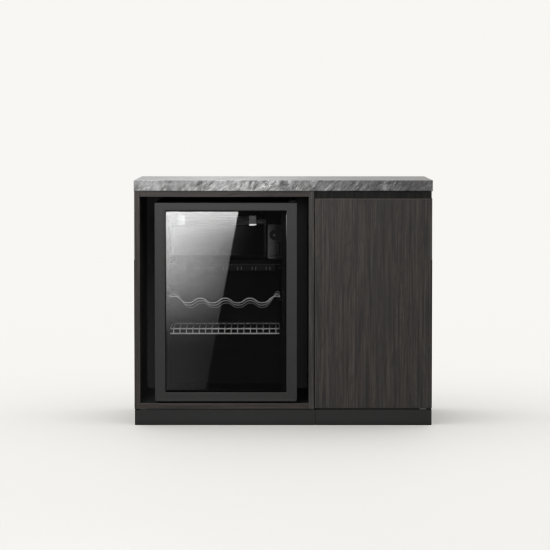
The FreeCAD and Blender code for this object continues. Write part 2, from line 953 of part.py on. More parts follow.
def hinge_bores():
    bores = []
    for edge, seat, way in ((door_bottom, notch_top, 1), (door_top, door_top, -1)):
        start = V(hinge_x, hinge_y, edge - way * overrun)
        end = V(hinge_x, hinge_y, seat + way * (hinge_pin_length + hinge_hole_floor))
        bores.append(rod(hinge_pin_radius + pin_clearance, start, end))
    return bores


def pane(y0):
    x0, x1, z0, z1 = aperture(rebate - glass_edge_gap)
    return block(x0, x1, y0, y0 + glass_thickness, z0, z1)


def glass_spacer():
    """The dark edge bar between the two panes. It shows above and below in the window."""
    x0, x1, z0, z1 = aperture()
    hole = (x0 + spacer_side_view, x1 - spacer_side_view, z0 + spacer_bottom_view, z1 - spacer_top_view)
    return ring(aperture(rebate - 2 * glass_edge_gap), hole, outer_glass_back, inner_glass_front)


def door_inner_frame():
    """The moulded back of the door: it clamps the panes and carries the seal."""
    plate = ring(door_outline(inner_frame_inset), aperture(), frame_back, door_back)
    tongue = ring(aperture(rebate - glass_edge_gap), aperture(), inner_glass_back, frame_back)
    whole = joined([plate, tongue])
    low = lambda p: at(p.z, door_bottom + inner_frame_inset)
    corners = [e for e in edges_where(whole, low) if at(e.Vertexes[0].Point.x, e.Vertexes[1].Point.x)]
    whole = whole.makeFillet(frame_corner_radius - inner_frame_inset, corners)
    x0, x1, z0, z1 = seal_outline((gasket_width - gasket_groove_width) / 2)
    groove = ring((x0, x1, z0, z1),
                  (x0 + gasket_groove_width, x1 - gasket_groove_width,
                   z0 + gasket_groove_width, z1 - gasket_groove_width),
                  door_back - gasket_groove, door_back + overrun)
    return less(whole, [groove, hinge_notch()])


def seal_outline(inset=0.0):
    return door_outline(gasket_inset + inset)


def door_gasket():
    """A soft magnetic seal with a foot that is pushed into the door's groove."""
    x0, x1, z0, z1 = seal_outline()
    lip = ring((x0, x1, z0, z1),
               (x0 + gasket_width, x1 - gasket_width, z0 + gasket_width, z1 - gasket_width),
               door_back, body_front - seat_gap)
    x0, x1, z0, z1 = seal_outline((gasket_width - gasket_groove_width) / 2)
    foot = ring((x0, x1, z0, z1),
                (x0 + gasket_groove_width, x1 - gasket_groove_width,
                 z0 + gasket_groove_width, z1 - gasket_groove_width),
                door_back - gasket_groove, door_back)
    return joined([lip, foot])


# Fridge door hinges


def hinge_screw_places():
    first = body_front + hinge_screw_first
    return [(hinge_x, first), (hinge_x, first + hinge_screw_pitch)]


def hinge_bracket(z0, z1, pin_to):
    """A plate that is screwed to the body and reaches past the door's edge, with a pin."""
    half = hinge_plate_width / 2
    y1 = body_front + hinge_plate_back
    arm = block(hinge_x - half, hinge_x + half, hinge_y, y1, z0, z1)
    nose = rod(half, V(hinge_x, hinge_y, z0), V(hinge_x, hinge_y, z1))
    side = block(body_right, hinge_x + 2 * half, hinge_y - 2 * half, y1 + overrun,
                 z0 - overrun, z1 + overrun)
    plate = joined([arm, nose]).cut(side)
    pin = rod(hinge_pin_radius, V(hinge_x, hinge_y, min(z0, pin_to)), V(hinge_x, hinge_y, max(z1, pin_to)))
    holes = []
    for x, y in hinge_screw_places():
        holes.append(turned(hinge_screw_radius + screw_clearance, V(x, y, z0 - overrun),
                            V(x, y, z1 + overrun), small_sides))
    return less(joined([plate, pin]), holes)


def fridge_hinge_brackets():
    upper = hinge_bracket(body_top, body_top + hinge_plate, door_top - hinge_pin_length)
    lower = hinge_bracket(body_bottom - hinge_plate, body_bottom, notch_top + hinge_pin_length)
    return Part.makeCompound([upper, lower])


def hinge_screws():
    """Two screws on each bracket, their shanks kept to the plate's own thickness."""
    screws = []
    for x, y in hinge_screw_places():
        for face, way in ((body_top, 1), (body_bottom, -1)):
            profile = [(hinge_screw_radius, 0), (hinge_screw_radius, way * hinge_plate),
                       (hinge_screw_head_radius, way * hinge_plate),
                       (hinge_screw_radius, way * (hinge_plate + hinge_screw_head))]
            screws.append(lathe(profile, V(x, y, face), small_sides))
    return Part.makeCompound(screws)


def hinge_cover():
    half = hinge_plate_width / 2
    y0 = body_front + hinge_cover_margin / 2
    y1 = body_front + hinge_plate_back
    z0 = body_top + hinge_plate
    z1 = z0 + hinge_cover_height
    x0 = hinge_x - half
    x1 = body_right
    cap = block(x0, x1, y0, y1, z0, z1)
    cap = cap.makeFillet(hinge_cover_radius, edges_where(cap, lambda p: at(p.z, z1)))
    wall = hinge_cover_wall
    hollow = block(x0 + wall, x1 - wall, y0 + wall, y1 - wall, z0 - overrun, z1 - wall)
    return cap.cut(hollow)


# Icebox


def depth_edges(box):
    """The edges of a box that run from front to back."""
    found = []
    for edge in box.Edges:
        one = edge.Vertexes[0].Point
        other = edge.Vertexes[1].Point
        if at(one.x, other.x) and at(one.z, other.z):
            found.append(edge)
    return found


def icebox_evaporator():
    """A roll-bonded sheet box, open at the front, with its raised coolant channel on top."""
    outer = block(ice_left, ice_right, ice_front, ice_back, ice_bottom, ice_top)
    outer = outer.makeFillet(icebox_corner, depth_edges(outer))
    sheet = icebox_sheet
    inner = block(ice_left + sheet, ice_right - sheet, ice_front - overrun, ice_back - sheet,
                  ice_bottom + sheet, ice_top - sheet)
    inner = inner.makeFillet(icebox_corner - sheet, depth_edges(inner))
    shell = outer.cut(inner)
    beads = []
    x0 = ice_left + channel_pitch
    x1 = ice_right - channel_pitch
    count = int((ice_back - ice_front - channel_pitch) / channel_pitch)
    for i in range(count):
        y = ice_front + channel_pitch * (i + 1)
        beads.append(block(x0, x1, y - channel_bead_width / 2, y + channel_bead_width / 2,
                           ice_top - sheet / 2, ice_top + channel_bead_height))
        if i + 1 < count:
            x = x1 if i % 2 == 0 else x0
            side = block(x - channel_bead_width / 2, x + channel_bead_width / 2, y, y + channel_pitch,
                         ice_top - sheet / 2, ice_top + channel_bead_height)
            beads.append(side)
    return joined([shell] + beads + icebox_posts())


def icebox_posts():
    """Four posts that carry the icebox from the cavity's ceiling."""
    posts = []
    for x in (ice_left + hanger_inset / 2, ice_right - hanger_inset / 2):
        for y in (ice_front + hanger_inset, ice_back - hanger_inset):
            posts.append(turned(hanger_radius, V(x, y, ice_top - icebox_sheet / 2), V(x, y, cavity_top),
                                small_sides))
    return posts


def icebox_front_frame():
    """The moulded surround of the icebox, with a deep top rail."""
    outer = (ice_left, ice_right, ice_bottom, ice_top)
    hole = (ice_left + front_frame_side, ice_right - front_frame_side,
            ice_bottom + front_frame_sill, ice_top - front_frame_rail)
    surround = ring(outer, hole, ice_frame_front, ice_front)
    edges = [e for e in surround.Edges
             if at(e.BoundBox.YMin, ice_frame_front) and at(e.BoundBox.YMax, ice_frame_front)]
    return surround.makeChamfer(frame_edge_radius, edges)


def icebox_flap():
    """A clear flap that hangs from a round bead, with a rib and a finger lip."""
    x0 = ice_left + flap_side_gap
    x1 = ice_right - flap_side_gap
    half = flap_thickness / 2
    bead = rod(flap_bead_radius, V(x0, bead_y, bead_z), V(x1, bead_y, bead_z))
    plate = block(x0, x1, bead_y - half, bead_y + half, flap_bottom, bead_z)
    rib_z = bead_z - flap_rib_drop
    rib = block(x0, x1, bead_y - half - flap_rib_height, bead_y - half, rib_z - half, rib_z + half)
    lip = block(x0, x1, bead_y - half - flap_lip, bead_y - half, flap_bottom, flap_bottom + flap_thickness)
    return joined([bead, plate, rib, lip])


def clip_middles():
    return [ice_left + share * icebox_width for share in clip_place_shares]


def icebox_clips():
    """Snap clips: a plate that hooks over the icebox and a C that holds the flap's bead."""
    clips = []
    bore = flap_bead_radius + pin_clearance
    for x in clip_middles():
        x0 = x - clip_width / 2
        x1 = x + clip_width / 2
        sleeve = rod(bore + clip_wall, V(x0, bead_y, bead_z), V(x1, bead_y, bead_z))
        plate = block(x0, x1, ice_frame_front - clip_plate, ice_frame_front, bead_z, ice_top + clip_tab)
        hook = block(x0, x1, ice_frame_front - clip_plate, ice_frame_front + clip_hook / 2,
                     ice_top, ice_top + clip_plate)
        hollow = rod(bore, V(x0 - overrun, bead_y, bead_z), V(x1 + overrun, bead_y, bead_z))
        reach = bore + clip_wall + overrun
        mouth = block(x0 - overrun, x1 + overrun, bead_y - reach, bead_y + clip_mouth,
                      bead_z - reach, bead_z + clip_mouth)
        clips.append(less(joined([sleeve, plate, hook]), [hollow, mouth]))
    return Part.makeCompound(clips)


# Drip tray, thermostat and lamp


def drip_tray():
    """A shallow tray that hangs on the ledges by its side flanges."""
    y0 = tray_front_y
    y1 = tray_front_y + tray_depth
    z1 = tray_top_z
    z0 = z1 - tray_height
    outer = block(tray_left, tray_right, y0, y1, z0, z1)
    outer = upright_rounded(outer, tray_corner, (tray_left, tray_right), (y0, y1))
    wall = tray_wall
    inner = block(tray_left + wall, tray_right - wall, y0 + wall, y1 - wall, z0 + wall, z1 + overrun)
    inner = upright_rounded(inner, tray_corner - wall, (tray_left + wall, tray_right - wall),
                            (y0 + wall, y1 - wall))
    flange_left = block(tray_left - tray_flange, tray_left + wall, y0 + tray_corner, y1 - tray_corner,
                        z1 - wall, z1)
    flange_right = block(tray_right - wall, tray_right + tray_flange, y0 + tray_corner, y1 - tray_corner,
                         z1 - wall, z1)
    marks = []
    middle = (tray_left + tray_right) / 2
    for i in range(tray_mark_count):
        centre = middle + (i - (tray_mark_count - 1) / 2) * tray_mark_pitch
        for side in (-1, 1):
            x = centre + side * tray_mark_half
            marks.append(block(x - tray_mark_width / 2, x + tray_mark_width / 2, y0 - tray_mark_stand,
                               y0 + wall / 2, z0 + wall, z0 + wall + tray_mark_height))
    return joined([outer.cut(inner), flange_left, flange_right] + marks)


def thermostat_housing():
    """A moulded case on the right wall, with the knob's bearing in its face."""
    y1 = housing_front_y + housing_depth
    case = block(housing_left, cavity_right, housing_front_y, y1, housing_bottom, housing_top)
    case = rounded(case, housing_radius, lambda p: at(p.x, housing_left))
    bore = rod(knob_shaft_radius + pin_clearance, V(knob_x, housing_front_y - overrun, knob_z),
               V(knob_x, housing_front_y + knob_shaft_length + seat_gap, knob_z))
    return less(case, [bore])


def thermostat_knob():
    """A round dial with a raised grip bar, on a shaft that turns in the housing."""
    y1 = housing_front_y - seat_gap
    y0 = y1 - knob_depth
    profile = [(knob_radius, 0), (knob_radius, knob_skirt), (knob_radius - knob_taper, knob_skirt),
               (knob_radius - 2 * knob_taper, knob_depth - knob_grip)]
    dial = lathe(profile, V(0, 0, 0), turned_sides + small_sides)
    dial.rotate(V(0, 0, 0), X, 90)
    dial.translate(V(knob_x, y1, knob_z))
    bar = block(knob_x - knob_grip_width / 2, knob_x + knob_grip_width / 2, y0, y1 - knob_grip,
                knob_z - knob_radius + 2 * knob_taper, knob_z + knob_radius - 2 * knob_taper)
    shaft = rod(knob_shaft_radius, V(knob_x, y1 - knob_taper, knob_z),
                V(knob_x, housing_front_y + knob_shaft_length, knob_z))
    return joined([dial, bar, shaft])


def lamp_lens():
    middle = (housing_left + cavity_right) / 2
    z0 = housing_bottom + lens_from_bottom
    lens = block(middle - lens_width / 2, middle + lens_width / 2, housing_front_y - lens_depth,
                 housing_front_y, z0, z0 + lens_height)
    return rounded(lens, lens_radius, lambda p: at(p.y, housing_front_y - lens_depth))


# Wire rack and wire shelf


def wave_points(y, drop_index):
    """Corner points of one wave wire, which the bends then round off."""
    valley = rack_z - wave_room * (wave_valley_share + wave_drop_share * drop_index)
    crest = rack_z - wave_room * (wave_crest_share + wave_drop_share * drop_index)
    end = rack_z - wave_room * wave_end_drop_share * drop_index
    first = rack_left + wave_first_valley
    last = first + (wave_count - 1) * wave_pitch
    half = wave_pitch / 2
    start = rack_left + 2 * frame_wire_radius
    stop = rack_right - 2 * frame_wire_radius
    points = [V(start, y, rack_z)]
    if drop_index > 0:
        points.append(V(start + wave_end_stub, y, rack_z))
    points.append(V(first - half + wave_end_flat / 2, y, end))
    for i in range(wave_count):
        x = first + i * wave_pitch
        points.append(V(x - wave_valley_flat, y, valley))
        points.append(V(x + wave_valley_flat, y, valley))
        if i + 1 < wave_count:
            points.append(V(x + half - wave_crest_flat / 2, y, crest))
            points.append(V(x + half + wave_crest_flat / 2, y, crest))
    points.append(V(last + half - wave_end_flat / 2, y, end))
    if drop_index > 0:
        points.append(V(stop - wave_end_stub, y, rack_z))
    points.append(V(stop, y, rack_z))
    return points


def wave_rack():
    """Bent wires that cradle the bottles, each one lower than the one in front of it."""
    wires = []
    step = rack_depth / (wave_wires - 1)
    for i in range(wave_wires):
        points = wave_points(rack_front_y + i * step, i)
        wires.append(bent_wire(points, wave_bend_radius, wire_radius, Y, thin_wire_sides))
    for x in (rack_left + frame_wire_radius, rack_right - frame_wire_radius):
        line = [V(x, rack_front_y - 2 * frame_wire_radius, rack_z),
                V(x, rack_front_y + rack_depth + 2 * frame_wire_radius, rack_z)]
        wires.append(bent_wire(line, 0, frame_wire_radius, X, wire_sides))
    return Part.makeCompound(wires)


def wire_shelf():
    """Wires from back to front on a frame loop, turned down at the front to a lip bar."""
    x0 = rack_left + frame_wire_radius
    x1 = rack_right - frame_wire_radius
    y0 = shelf_front_y
    y1 = shelf_front_y + shelf_wire_depth
    bar_y = y0 + 2 * shelf_lip_bend
    reach = frame_wire_radius + wire_radius
    loop = [V(x0, y1, shelf_z), V(x0, bar_y, shelf_z), V(x1, bar_y, shelf_z), V(x1, y1, shelf_z)]
    rear = [V(x0 + frame_wire_radius, y1 - frame_wire_radius, shelf_z),
            V(x1 - frame_wire_radius, y1 - frame_wire_radius, shelf_z)]
    lip = [V(x0, y0 + reach, shelf_z - shelf_lip_drop), V(x1, y0 + reach, shelf_z - shelf_lip_drop)]
    wires = [
        bent_wire(loop, shelf_corner_bend, frame_wire_radius, Z, wire_sides),
        bent_wire(rear, 0, frame_wire_radius, Z, wire_sides),
        bent_wire(lip, 0, frame_wire_radius, Z, wire_sides),
    ]
    middle = (x0 + x1) / 2
    z = shelf_z + reach
    for i in range(shelf_wire_count):
        x = middle + (i - (shelf_wire_count - 1) / 2) * shelf_wire_pitch
        points = [V(x, y1, z), V(x, y0, z), V(x, y0, shelf_z - shelf_lip_drop - wire_radius)]
        wires.append(bent_wire(points, shelf_lip_bend, wire_radius, Z, thin_wire_sides))
    return Part.makeCompound(wires)


# Cooling circuit


def compressor_tray():
    """The steel floor of the niche."""
    return block(body_left + shell_sheet, body_right - shell_sheet, niche_front, body_back,
                 body_bottom, tray_plate_top)


def compressor_mounts():
    rings = []
    for sx in (-1, 1):
        for sy in (-1, 1):
            place = V(compressor_x + sx * mount_spread, compressor_y + sy * mount_spread, tray_plate_top)
            rings.append(turned(mount_radius, place, place + Z * mount_height, small_sides))
    return Part.makeCompound(rings)


def compressor_top():
    return compressor_bottom + compressor_foot_plate + compressor_height


def compressor():
    """A welded pot: a foot plate, a drawn lower cup, a belt and a domed lid."""
    z0 = compressor_bottom
    z1 = z0 + compressor_foot_plate
    half = mount_spread + mount_radius
    plate = block(compressor_x - half, compressor_x + half,
                  compressor_y - half, compressor_y + half, z0, z1)
    plate = upright_rounded(plate, mount_radius, (compressor_x - half, compressor_x + half),
                            (compressor_y - half, compressor_y + half))
    r = compressor_radius
    h = compressor_height
    belt_z = h / 2
    pot = [(r * share, r * rise) for share, rise in pot_foot_shares]
    pot += [(r, belt_z), (compressor_belt_radius, belt_z),
            (compressor_belt_radius, belt_z + compressor_belt_height), (r, belt_z + compressor_belt_height)]
    pot += [(r * share, h - r * rise) for share, rise in pot_lid_shares]
    body = lathe(pot, V(compressor_x, compressor_y, z1), turned_sides)
    stubs = []
    for x, y in stub_roots():
        line = [V(x + stub_inside(), y, stub_z()), V(x + stub_reach(), y, stub_z())]
        stubs.append(bent_wire(line, 0, stub_radius, Z, wire_sides))
    return joined([plate, body] + stubs)


def stub_inside():
    return -compressor_radius / 2


def stub_z():
    return compressor_bottom + compressor_foot_plate + compressor_height / 3


def stub_reach():
    return -(compressor_radius + stub_length)


def stub_roots():
    return [(compressor_x, compressor_y - compressor_radius / 3),
            (compressor_x, compressor_y + compressor_radius / 3)]


def start_relay_cover():
    """The plastic box over the compressor's terminals, on its right-hand side."""
    x0 = compressor_x + compressor_radius
    z0 = compressor_bottom + compressor_foot_plate + relay_height / 4
    case = block(x0, x0 + relay_width, compressor_y - relay_depth / 2, compressor_y + relay_depth / 2,
                 z0, z0 + relay_height)
    return rounded(case, relay_radius, lambda p: at(p.x, x0 + relay_width))


def cord_gland():
    """Where the supply lead leaves the relay cover, towards the back."""
    x = compressor_x + compressor_radius + relay_width / 2
    y = compressor_y + relay_depth / 2
    z = compressor_bottom + compressor_foot_plate + relay_height / 2
    profile = [(gland_radius, 0), (gland_radius, gland_collar), (gland_tip_radius, gland_length)]
    gland = lathe(profile, V(0, 0, 0), turned_sides)
    gland.rotate(V(0, 0, 0), X, -90)
    gland.translate(V(x, y, z))
    return gland


def condensate_pan():
    """An open dish on the warm lid of the compressor, where the defrost water dries off."""
    z0 = compressor_top()
    x0 = compressor_x - pan_width / 2
    y0 = compressor_y - pan_depth / 2
    dish = block(x0, x0 + pan_width, y0, y0 + pan_depth, z0, z0 + pan_height)
    hollow = block(x0 + pan_wall, x0 + pan_width - pan_wall, y0 + pan_wall, y0 + pan_depth - pan_wall,
                   z0 + pan_wall, z0 + pan_height + overrun)
    return dish.cut(hollow)


def condenser_pitch():
    return condenser_height / (condenser_passes - 1)


def condenser_coil():
    """One tube that runs to and fro, stiffened by wires across all its passes."""
    points = []
    x0 = condenser_left
    x1 = condenser_right
    for i in range(condenser_passes):
        z = condenser_top - i * condenser_pitch()
        ends = (x0, x1) if i % 2 == 0 else (x1, x0)
        points.append(V(ends[0], condenser_y, z))
        points.append(V(ends[1], condenser_y, z))
    bend = condenser_pitch() * condenser_bend_share
    tube = bent_wire(points, bend, condenser_tube_radius, Y, thin_wire_sides)
    wires = [tube]
    spread = condenser_width - 2 * condenser_pitch()
    y = condenser_y + condenser_tube_radius + condenser_wire_radius
    low = condenser_bottom - condenser_tube_radius
    high = condenser_top + condenser_tube_radius
    for i in range(condenser_wires):
        x = x0 + condenser_pitch() + spread * i / (condenser_wires - 1)
        line = [V(x, y, low), V(x, y, high)]
        wires.append(bent_wire(line, 0, condenser_wire_radius, Y, thin_wire_sides))
    return Part.makeCompound(wires)


def condenser_standoffs():
    """Four blocks that hold the condenser off the back plate."""
    feet = []
    for x in (condenser_left + 2 * condenser_pitch(), condenser_right - 2 * condenser_pitch()):
        for i in (0, condenser_passes - 1):
            z = condenser_top - i * condenser_pitch()
            half = standoff_width / 2
            feet.append(block(x - half, x + half, body_back,
                              condenser_y - condenser_tube_radius - seat_gap, z - half, z + half))
    return Part.makeCompound(feet)


def filter_drier():
    """The copper cartridge with its necked ends, upright in the niche."""
    y = compressor_y
    neck = drier_radius / 2
    profile = [(pipe_radius, 0), (drier_radius, neck), (drier_radius, drier_height - neck),
               (pipe_radius, drier_height)]
    return lathe(profile, V(drier_x, y, tray_plate_top + drier_height / 2), turned_sides)


def refrigerant_pipes():
    """Discharge line to the condenser, liquid line to the drier, suction line into the wall."""
    (x, near_y), (x2, far_y) = stub_roots()
    end_x = x + stub_reach()
    out_x = end_x - 3 * pipe_bend
    hot = [V(end_x, far_y, stub_z()), V(out_x, far_y, stub_z()),
           V(out_x, condenser_y, stub_z()),
           V(out_x, condenser_y, condenser_bottom - 2 * pipe_bend)]
    suction = [V(end_x, near_y, stub_z()), V(out_x, near_y, stub_z()), V(out_x, near_y, niche_top)]
    drier_y = compressor_y
    drier_top = tray_plate_top + drier_height / 2 + drier_height
    liquid = [V(drier_x, drier_y, drier_top), V(drier_x, drier_y, niche_top)]
    capillary = [V(drier_x, drier_y, tray_plate_top + drier_height / 2),
                 V(drier_x, drier_y, tray_plate_top + seat_gap)]
    return Part.makeCompound([
        bent_wire(hot, pipe_bend, pipe_radius, Z, wire_sides),
        bent_wire(suction, pipe_bend, pipe_radius, Z, wire_sides),
        bent_wire(liquid, 0, pipe_radius, Y, wire_sides),
        bent_wire(capillary, 0, pipe_radius / 2, Y, wire_sides)])


def sub_parts():
    parts = {"stone_top": stone_top()}
    parts.update(bay_panels())
    parts.update(cupboard_panels())
    for make in (bay_back_panel, cupboard_back_panel, finger_channel, cupboard_shelf, shelf_pins,
                 module_bolts, bay_plinth_front, cupboard_plinth_front, plinth_back_board,
                 plinth_cross_boards, cupboard_door, cupboard_pivot_hinges, door_bumpers,
                 catch_magnet, catch_strike, fridge_outer_shell, fridge_back_plate,
                 fridge_base_plate, fridge_inner_liner, fridge_foam, fridge_feet, door_frame,
                 glass_spacer, door_inner_frame, door_gasket, fridge_hinge_brackets, hinge_screws,
                 hinge_cover, icebox_evaporator, icebox_front_frame, icebox_flap, icebox_clips,
                 drip_tray, thermostat_housing, thermostat_knob, lamp_lens, wave_rack, wire_shelf,
                 compressor_tray, compressor_mounts, compressor, start_relay_cover, cord_gland,
                 condensate_pan, condenser_coil, condenser_standoffs, filter_drier,
                 refrigerant_pipes):
        parts[make.__name__] = make()
    parts["door_outer_glass"] = pane(outer_glass_front)
    parts["door_inner_glass"] = pane(inner_glass_front)
    return parts


os.makedirs("parts", exist_ok=True)
for node, shape in sub_parts().items():
    shape.exportStep("parts/" + node + ".step")
    print(node, len(shape.Solids), round(shape.Volume), shape.isValid())
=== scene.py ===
import math

import bpy
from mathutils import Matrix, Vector


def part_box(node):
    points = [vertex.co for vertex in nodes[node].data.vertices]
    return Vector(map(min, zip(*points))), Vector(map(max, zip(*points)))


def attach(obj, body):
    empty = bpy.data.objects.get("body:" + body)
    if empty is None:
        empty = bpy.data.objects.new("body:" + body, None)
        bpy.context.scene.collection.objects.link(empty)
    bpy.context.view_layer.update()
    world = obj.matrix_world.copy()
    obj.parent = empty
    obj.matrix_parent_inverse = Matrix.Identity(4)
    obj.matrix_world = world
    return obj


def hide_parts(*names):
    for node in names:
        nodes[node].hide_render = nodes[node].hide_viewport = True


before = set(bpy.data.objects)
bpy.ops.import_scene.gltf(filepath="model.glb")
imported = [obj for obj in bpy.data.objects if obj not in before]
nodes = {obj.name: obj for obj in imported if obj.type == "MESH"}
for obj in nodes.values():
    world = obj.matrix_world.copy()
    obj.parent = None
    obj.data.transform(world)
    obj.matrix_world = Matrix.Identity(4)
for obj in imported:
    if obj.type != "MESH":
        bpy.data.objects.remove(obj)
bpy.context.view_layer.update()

scene = bpy.context.scene
scene.view_settings.view_transform = "Standard"

# Camera, fitted to the cabinet's corners in the photograph

camera = bpy.data.objects.new("camera", bpy.data.cameras.new("camera"))
scene.collection.objects.link(camera)
camera.location = (-0.0085, -8.7668, 1.0457)
camera.rotation_euler = (math.radians(90 - 3.698), 0, math.radians(0.125))
camera.data.sensor_fit = "HORIZONTAL"
camera.data.sensor_width = 36
camera.data.lens = 170.2
camera.data.clip_end = 100
scene.camera = camera


# Node trees


class Tree:
    """A node tree under construction: short calls that add nodes and link them."""

    def __init__(self, tree, output):
        self.tree = tree
        self.tree.nodes.clear()
        self.out = self.add(output)

    def add(self, kind, inputs=None, **settings):
        node = self.tree.nodes.new("ShaderNode" + kind)
        for key, value in settings.items():
            setattr(node, key, value)
        for key, value in (inputs or {}).items():
            if isinstance(value, bpy.types.NodeSocket):
                self.tree.links.new(value, node.inputs[key])
            else:
                node.inputs[key].default_value = value
        return node

    def math(self, operation, *values):
        return self.add("Math", dict(enumerate(values)), operation=operation).outputs[0]

    def remap(self, value, low, high, to_low, to_high):
        inputs = {"Value": value, "From Min": low, "From Max": high, "To Min": to_low, "To Max": to_high}
        return self.add("MapRange", inputs).outputs[0]

    def end(self, shader):
        self.tree.links.new(shader, self.out.inputs["Surface"])


class Shader(Tree):
    """A procedural material, laid out in the object's own coordinates."""

    def __init__(self, name):
        self.material = bpy.data.materials.new(name)
        self.material.use_nodes = True
        super().__init__(self.material.node_tree, "OutputMaterial")
        self.where = self.add("TexCoord").outputs["Object"]

    def axis(self, index):
        """One coordinate in metres: 0 is x, 1 is y and 2 is z."""
        return self.add("SeparateXYZ", {0: self.where}).outputs[index]

    def place(self, scale=(1, 1, 1), turn=(0, 0, 0), move=(0, 0, 0), kind="POINT"):
        inputs = {"Vector": self.where, "Scale": scale, "Rotation": turn, "Location": move}
        return self.add("Mapping", inputs, vector_type=kind).outputs[0]

    def leaning(self, angle, length, move=(0, 0, 0)):
        """Coordinates stretched along a direction that leans from +Z towards +X."""
        return self.place((1, 1, length), (0, math.radians(angle), 0), move, "TEXTURE")

    def grain(self, axis, along, across=1, move=(0, 0, 0)):
        """Coordinates for a pattern that is long in one axis, "x" or "z"."""
        scale = [across] * 3
        scale["xyz".index(axis)] = along
        return self.place(scale, move=move)

    def noise(self, vector, scale, detail=4.0, rough=0.55, twist=0.0):
        inputs = {"Vector": vector, "Scale": scale, "Detail": detail, "Roughness": rough, "Distortion": twist}
        return self.add("TexNoise", inputs).outputs[0]

    def ramp(self, value, stops):
        node = self.add("ValToRGB", {"Fac": value})
        band = node.color_ramp
        while len(band.elements) < len(stops):
            band.elements.new(1.0)
        for element, (position, colour) in zip(band.elements, stops):
            element.position = position
            element.color = rgba(colour)
        return node.outputs[0]

    def mix(self, factor, a, b, blend="MIX"):
        inputs = {0: factor, 6: rgba(a), 7: rgba(b)}
        return self.add("Mix", inputs, data_type="RGBA", blend_type=blend).outputs[2]

    def times(self, colour, by):
        return self.mix(1.0, colour, by, "MULTIPLY")

    def bump(self, height, distance, strength=1.0):
        return self.add("Bump", {"Height": height, "Distance": distance, "Strength": strength}).outputs[0]

    def surface(self, **inputs):
        names = {key.replace("_", " ").title().replace("Ior", "IOR"): value for key, value in inputs.items()}
        names["Base Color"] = rgba(names["Base Color"])
        return self.add("BsdfPrincipled", names).outputs[0]

    def end(self, shader):
        super().end(shader)
        return self.material


def tone(colour):
    """A grey level or a colour, in linear light, as three numbers."""
    return (colour,) * 3 if isinstance(colour, (int, float)) else tuple(colour)


def rgba(colour):
    return colour if isinstance(colour, bpy.types.NodeSocket) else (*tone(colour), 1)


def screen(*levels):
    """Linear light of an 8-bit screen colour, given as one grey level or as red, green and blue."""
    shares = [level / 255 for level in (levels * 3)[:3]]
    return tuple(c / 12.92 if c <= 0.04045 else ((c + 0.055) / 1.055) ** 2.4 for c in shares)


def scaled(colour, by):
    return tuple(c * by for c in tone(colour))


def finish(name, colour, spread=0.15, size=40.0, stretch=(1, 1, 1), rough=(0.4, 0.5), bump=0.00004,
           zones=(), dot=None, fade=None, **more):
    """A material whose colour, roughness and surface all vary a little.

    A fade goes over to another tone, and a zone is a slice of another tone, both (axis, from, to, tone).
    A dot is (centre, radius, tone). Places and sizes are in metres."""
    s = Shader(name)
    at = s.place(stretch)
    fine = s.noise(at, size, 5)
    broad = s.noise(at, size / 7, 3)
    shade = s.add("Mix", {0: 0.5, 2: fine, 3: broad}, data_type="FLOAT").outputs[0]
    paint = s.ramp(shade, [(0.35, scaled(colour, 1 - spread)), (0.65, scaled(colour, 1 + spread))])
    if fade:
        axis, start, stop, other = fade
        paint = s.mix(s.remap(s.axis(axis), start, stop, 0.0, 1.0), paint, other)
    if dot:
        centre, radius, other = dot
        away = s.add("VectorMath", {0: s.where, 1: centre}, operation="DISTANCE").outputs["Value"]
        paint = s.mix(s.math("LESS_THAN", away, radius), paint, other)
    for axis, low, high, other in zones:
        inside = s.math("COMPARE", s.axis(axis), (low + high) / 2, (high - low) / 2)
        paint = s.mix(inside, paint, other)
    wear = s.remap(broad, 0.35, 0.65, *rough)
    relief = s.bump(fine, bump)
    return s.end(s.surface(base_color=paint, roughness=wear, normal=relief, **more))


# The boards' front edges lie before this y, the cabinet's outer sides beyond this x
BOARD_FRONT_Y = -0.2475
OUTER_SIDE_X = 0.4883
# Over this span of y a board's inner laminate goes over to the painted light at its back
BACK_LIGHT_SPAN_Y = (-0.25, 0.23)


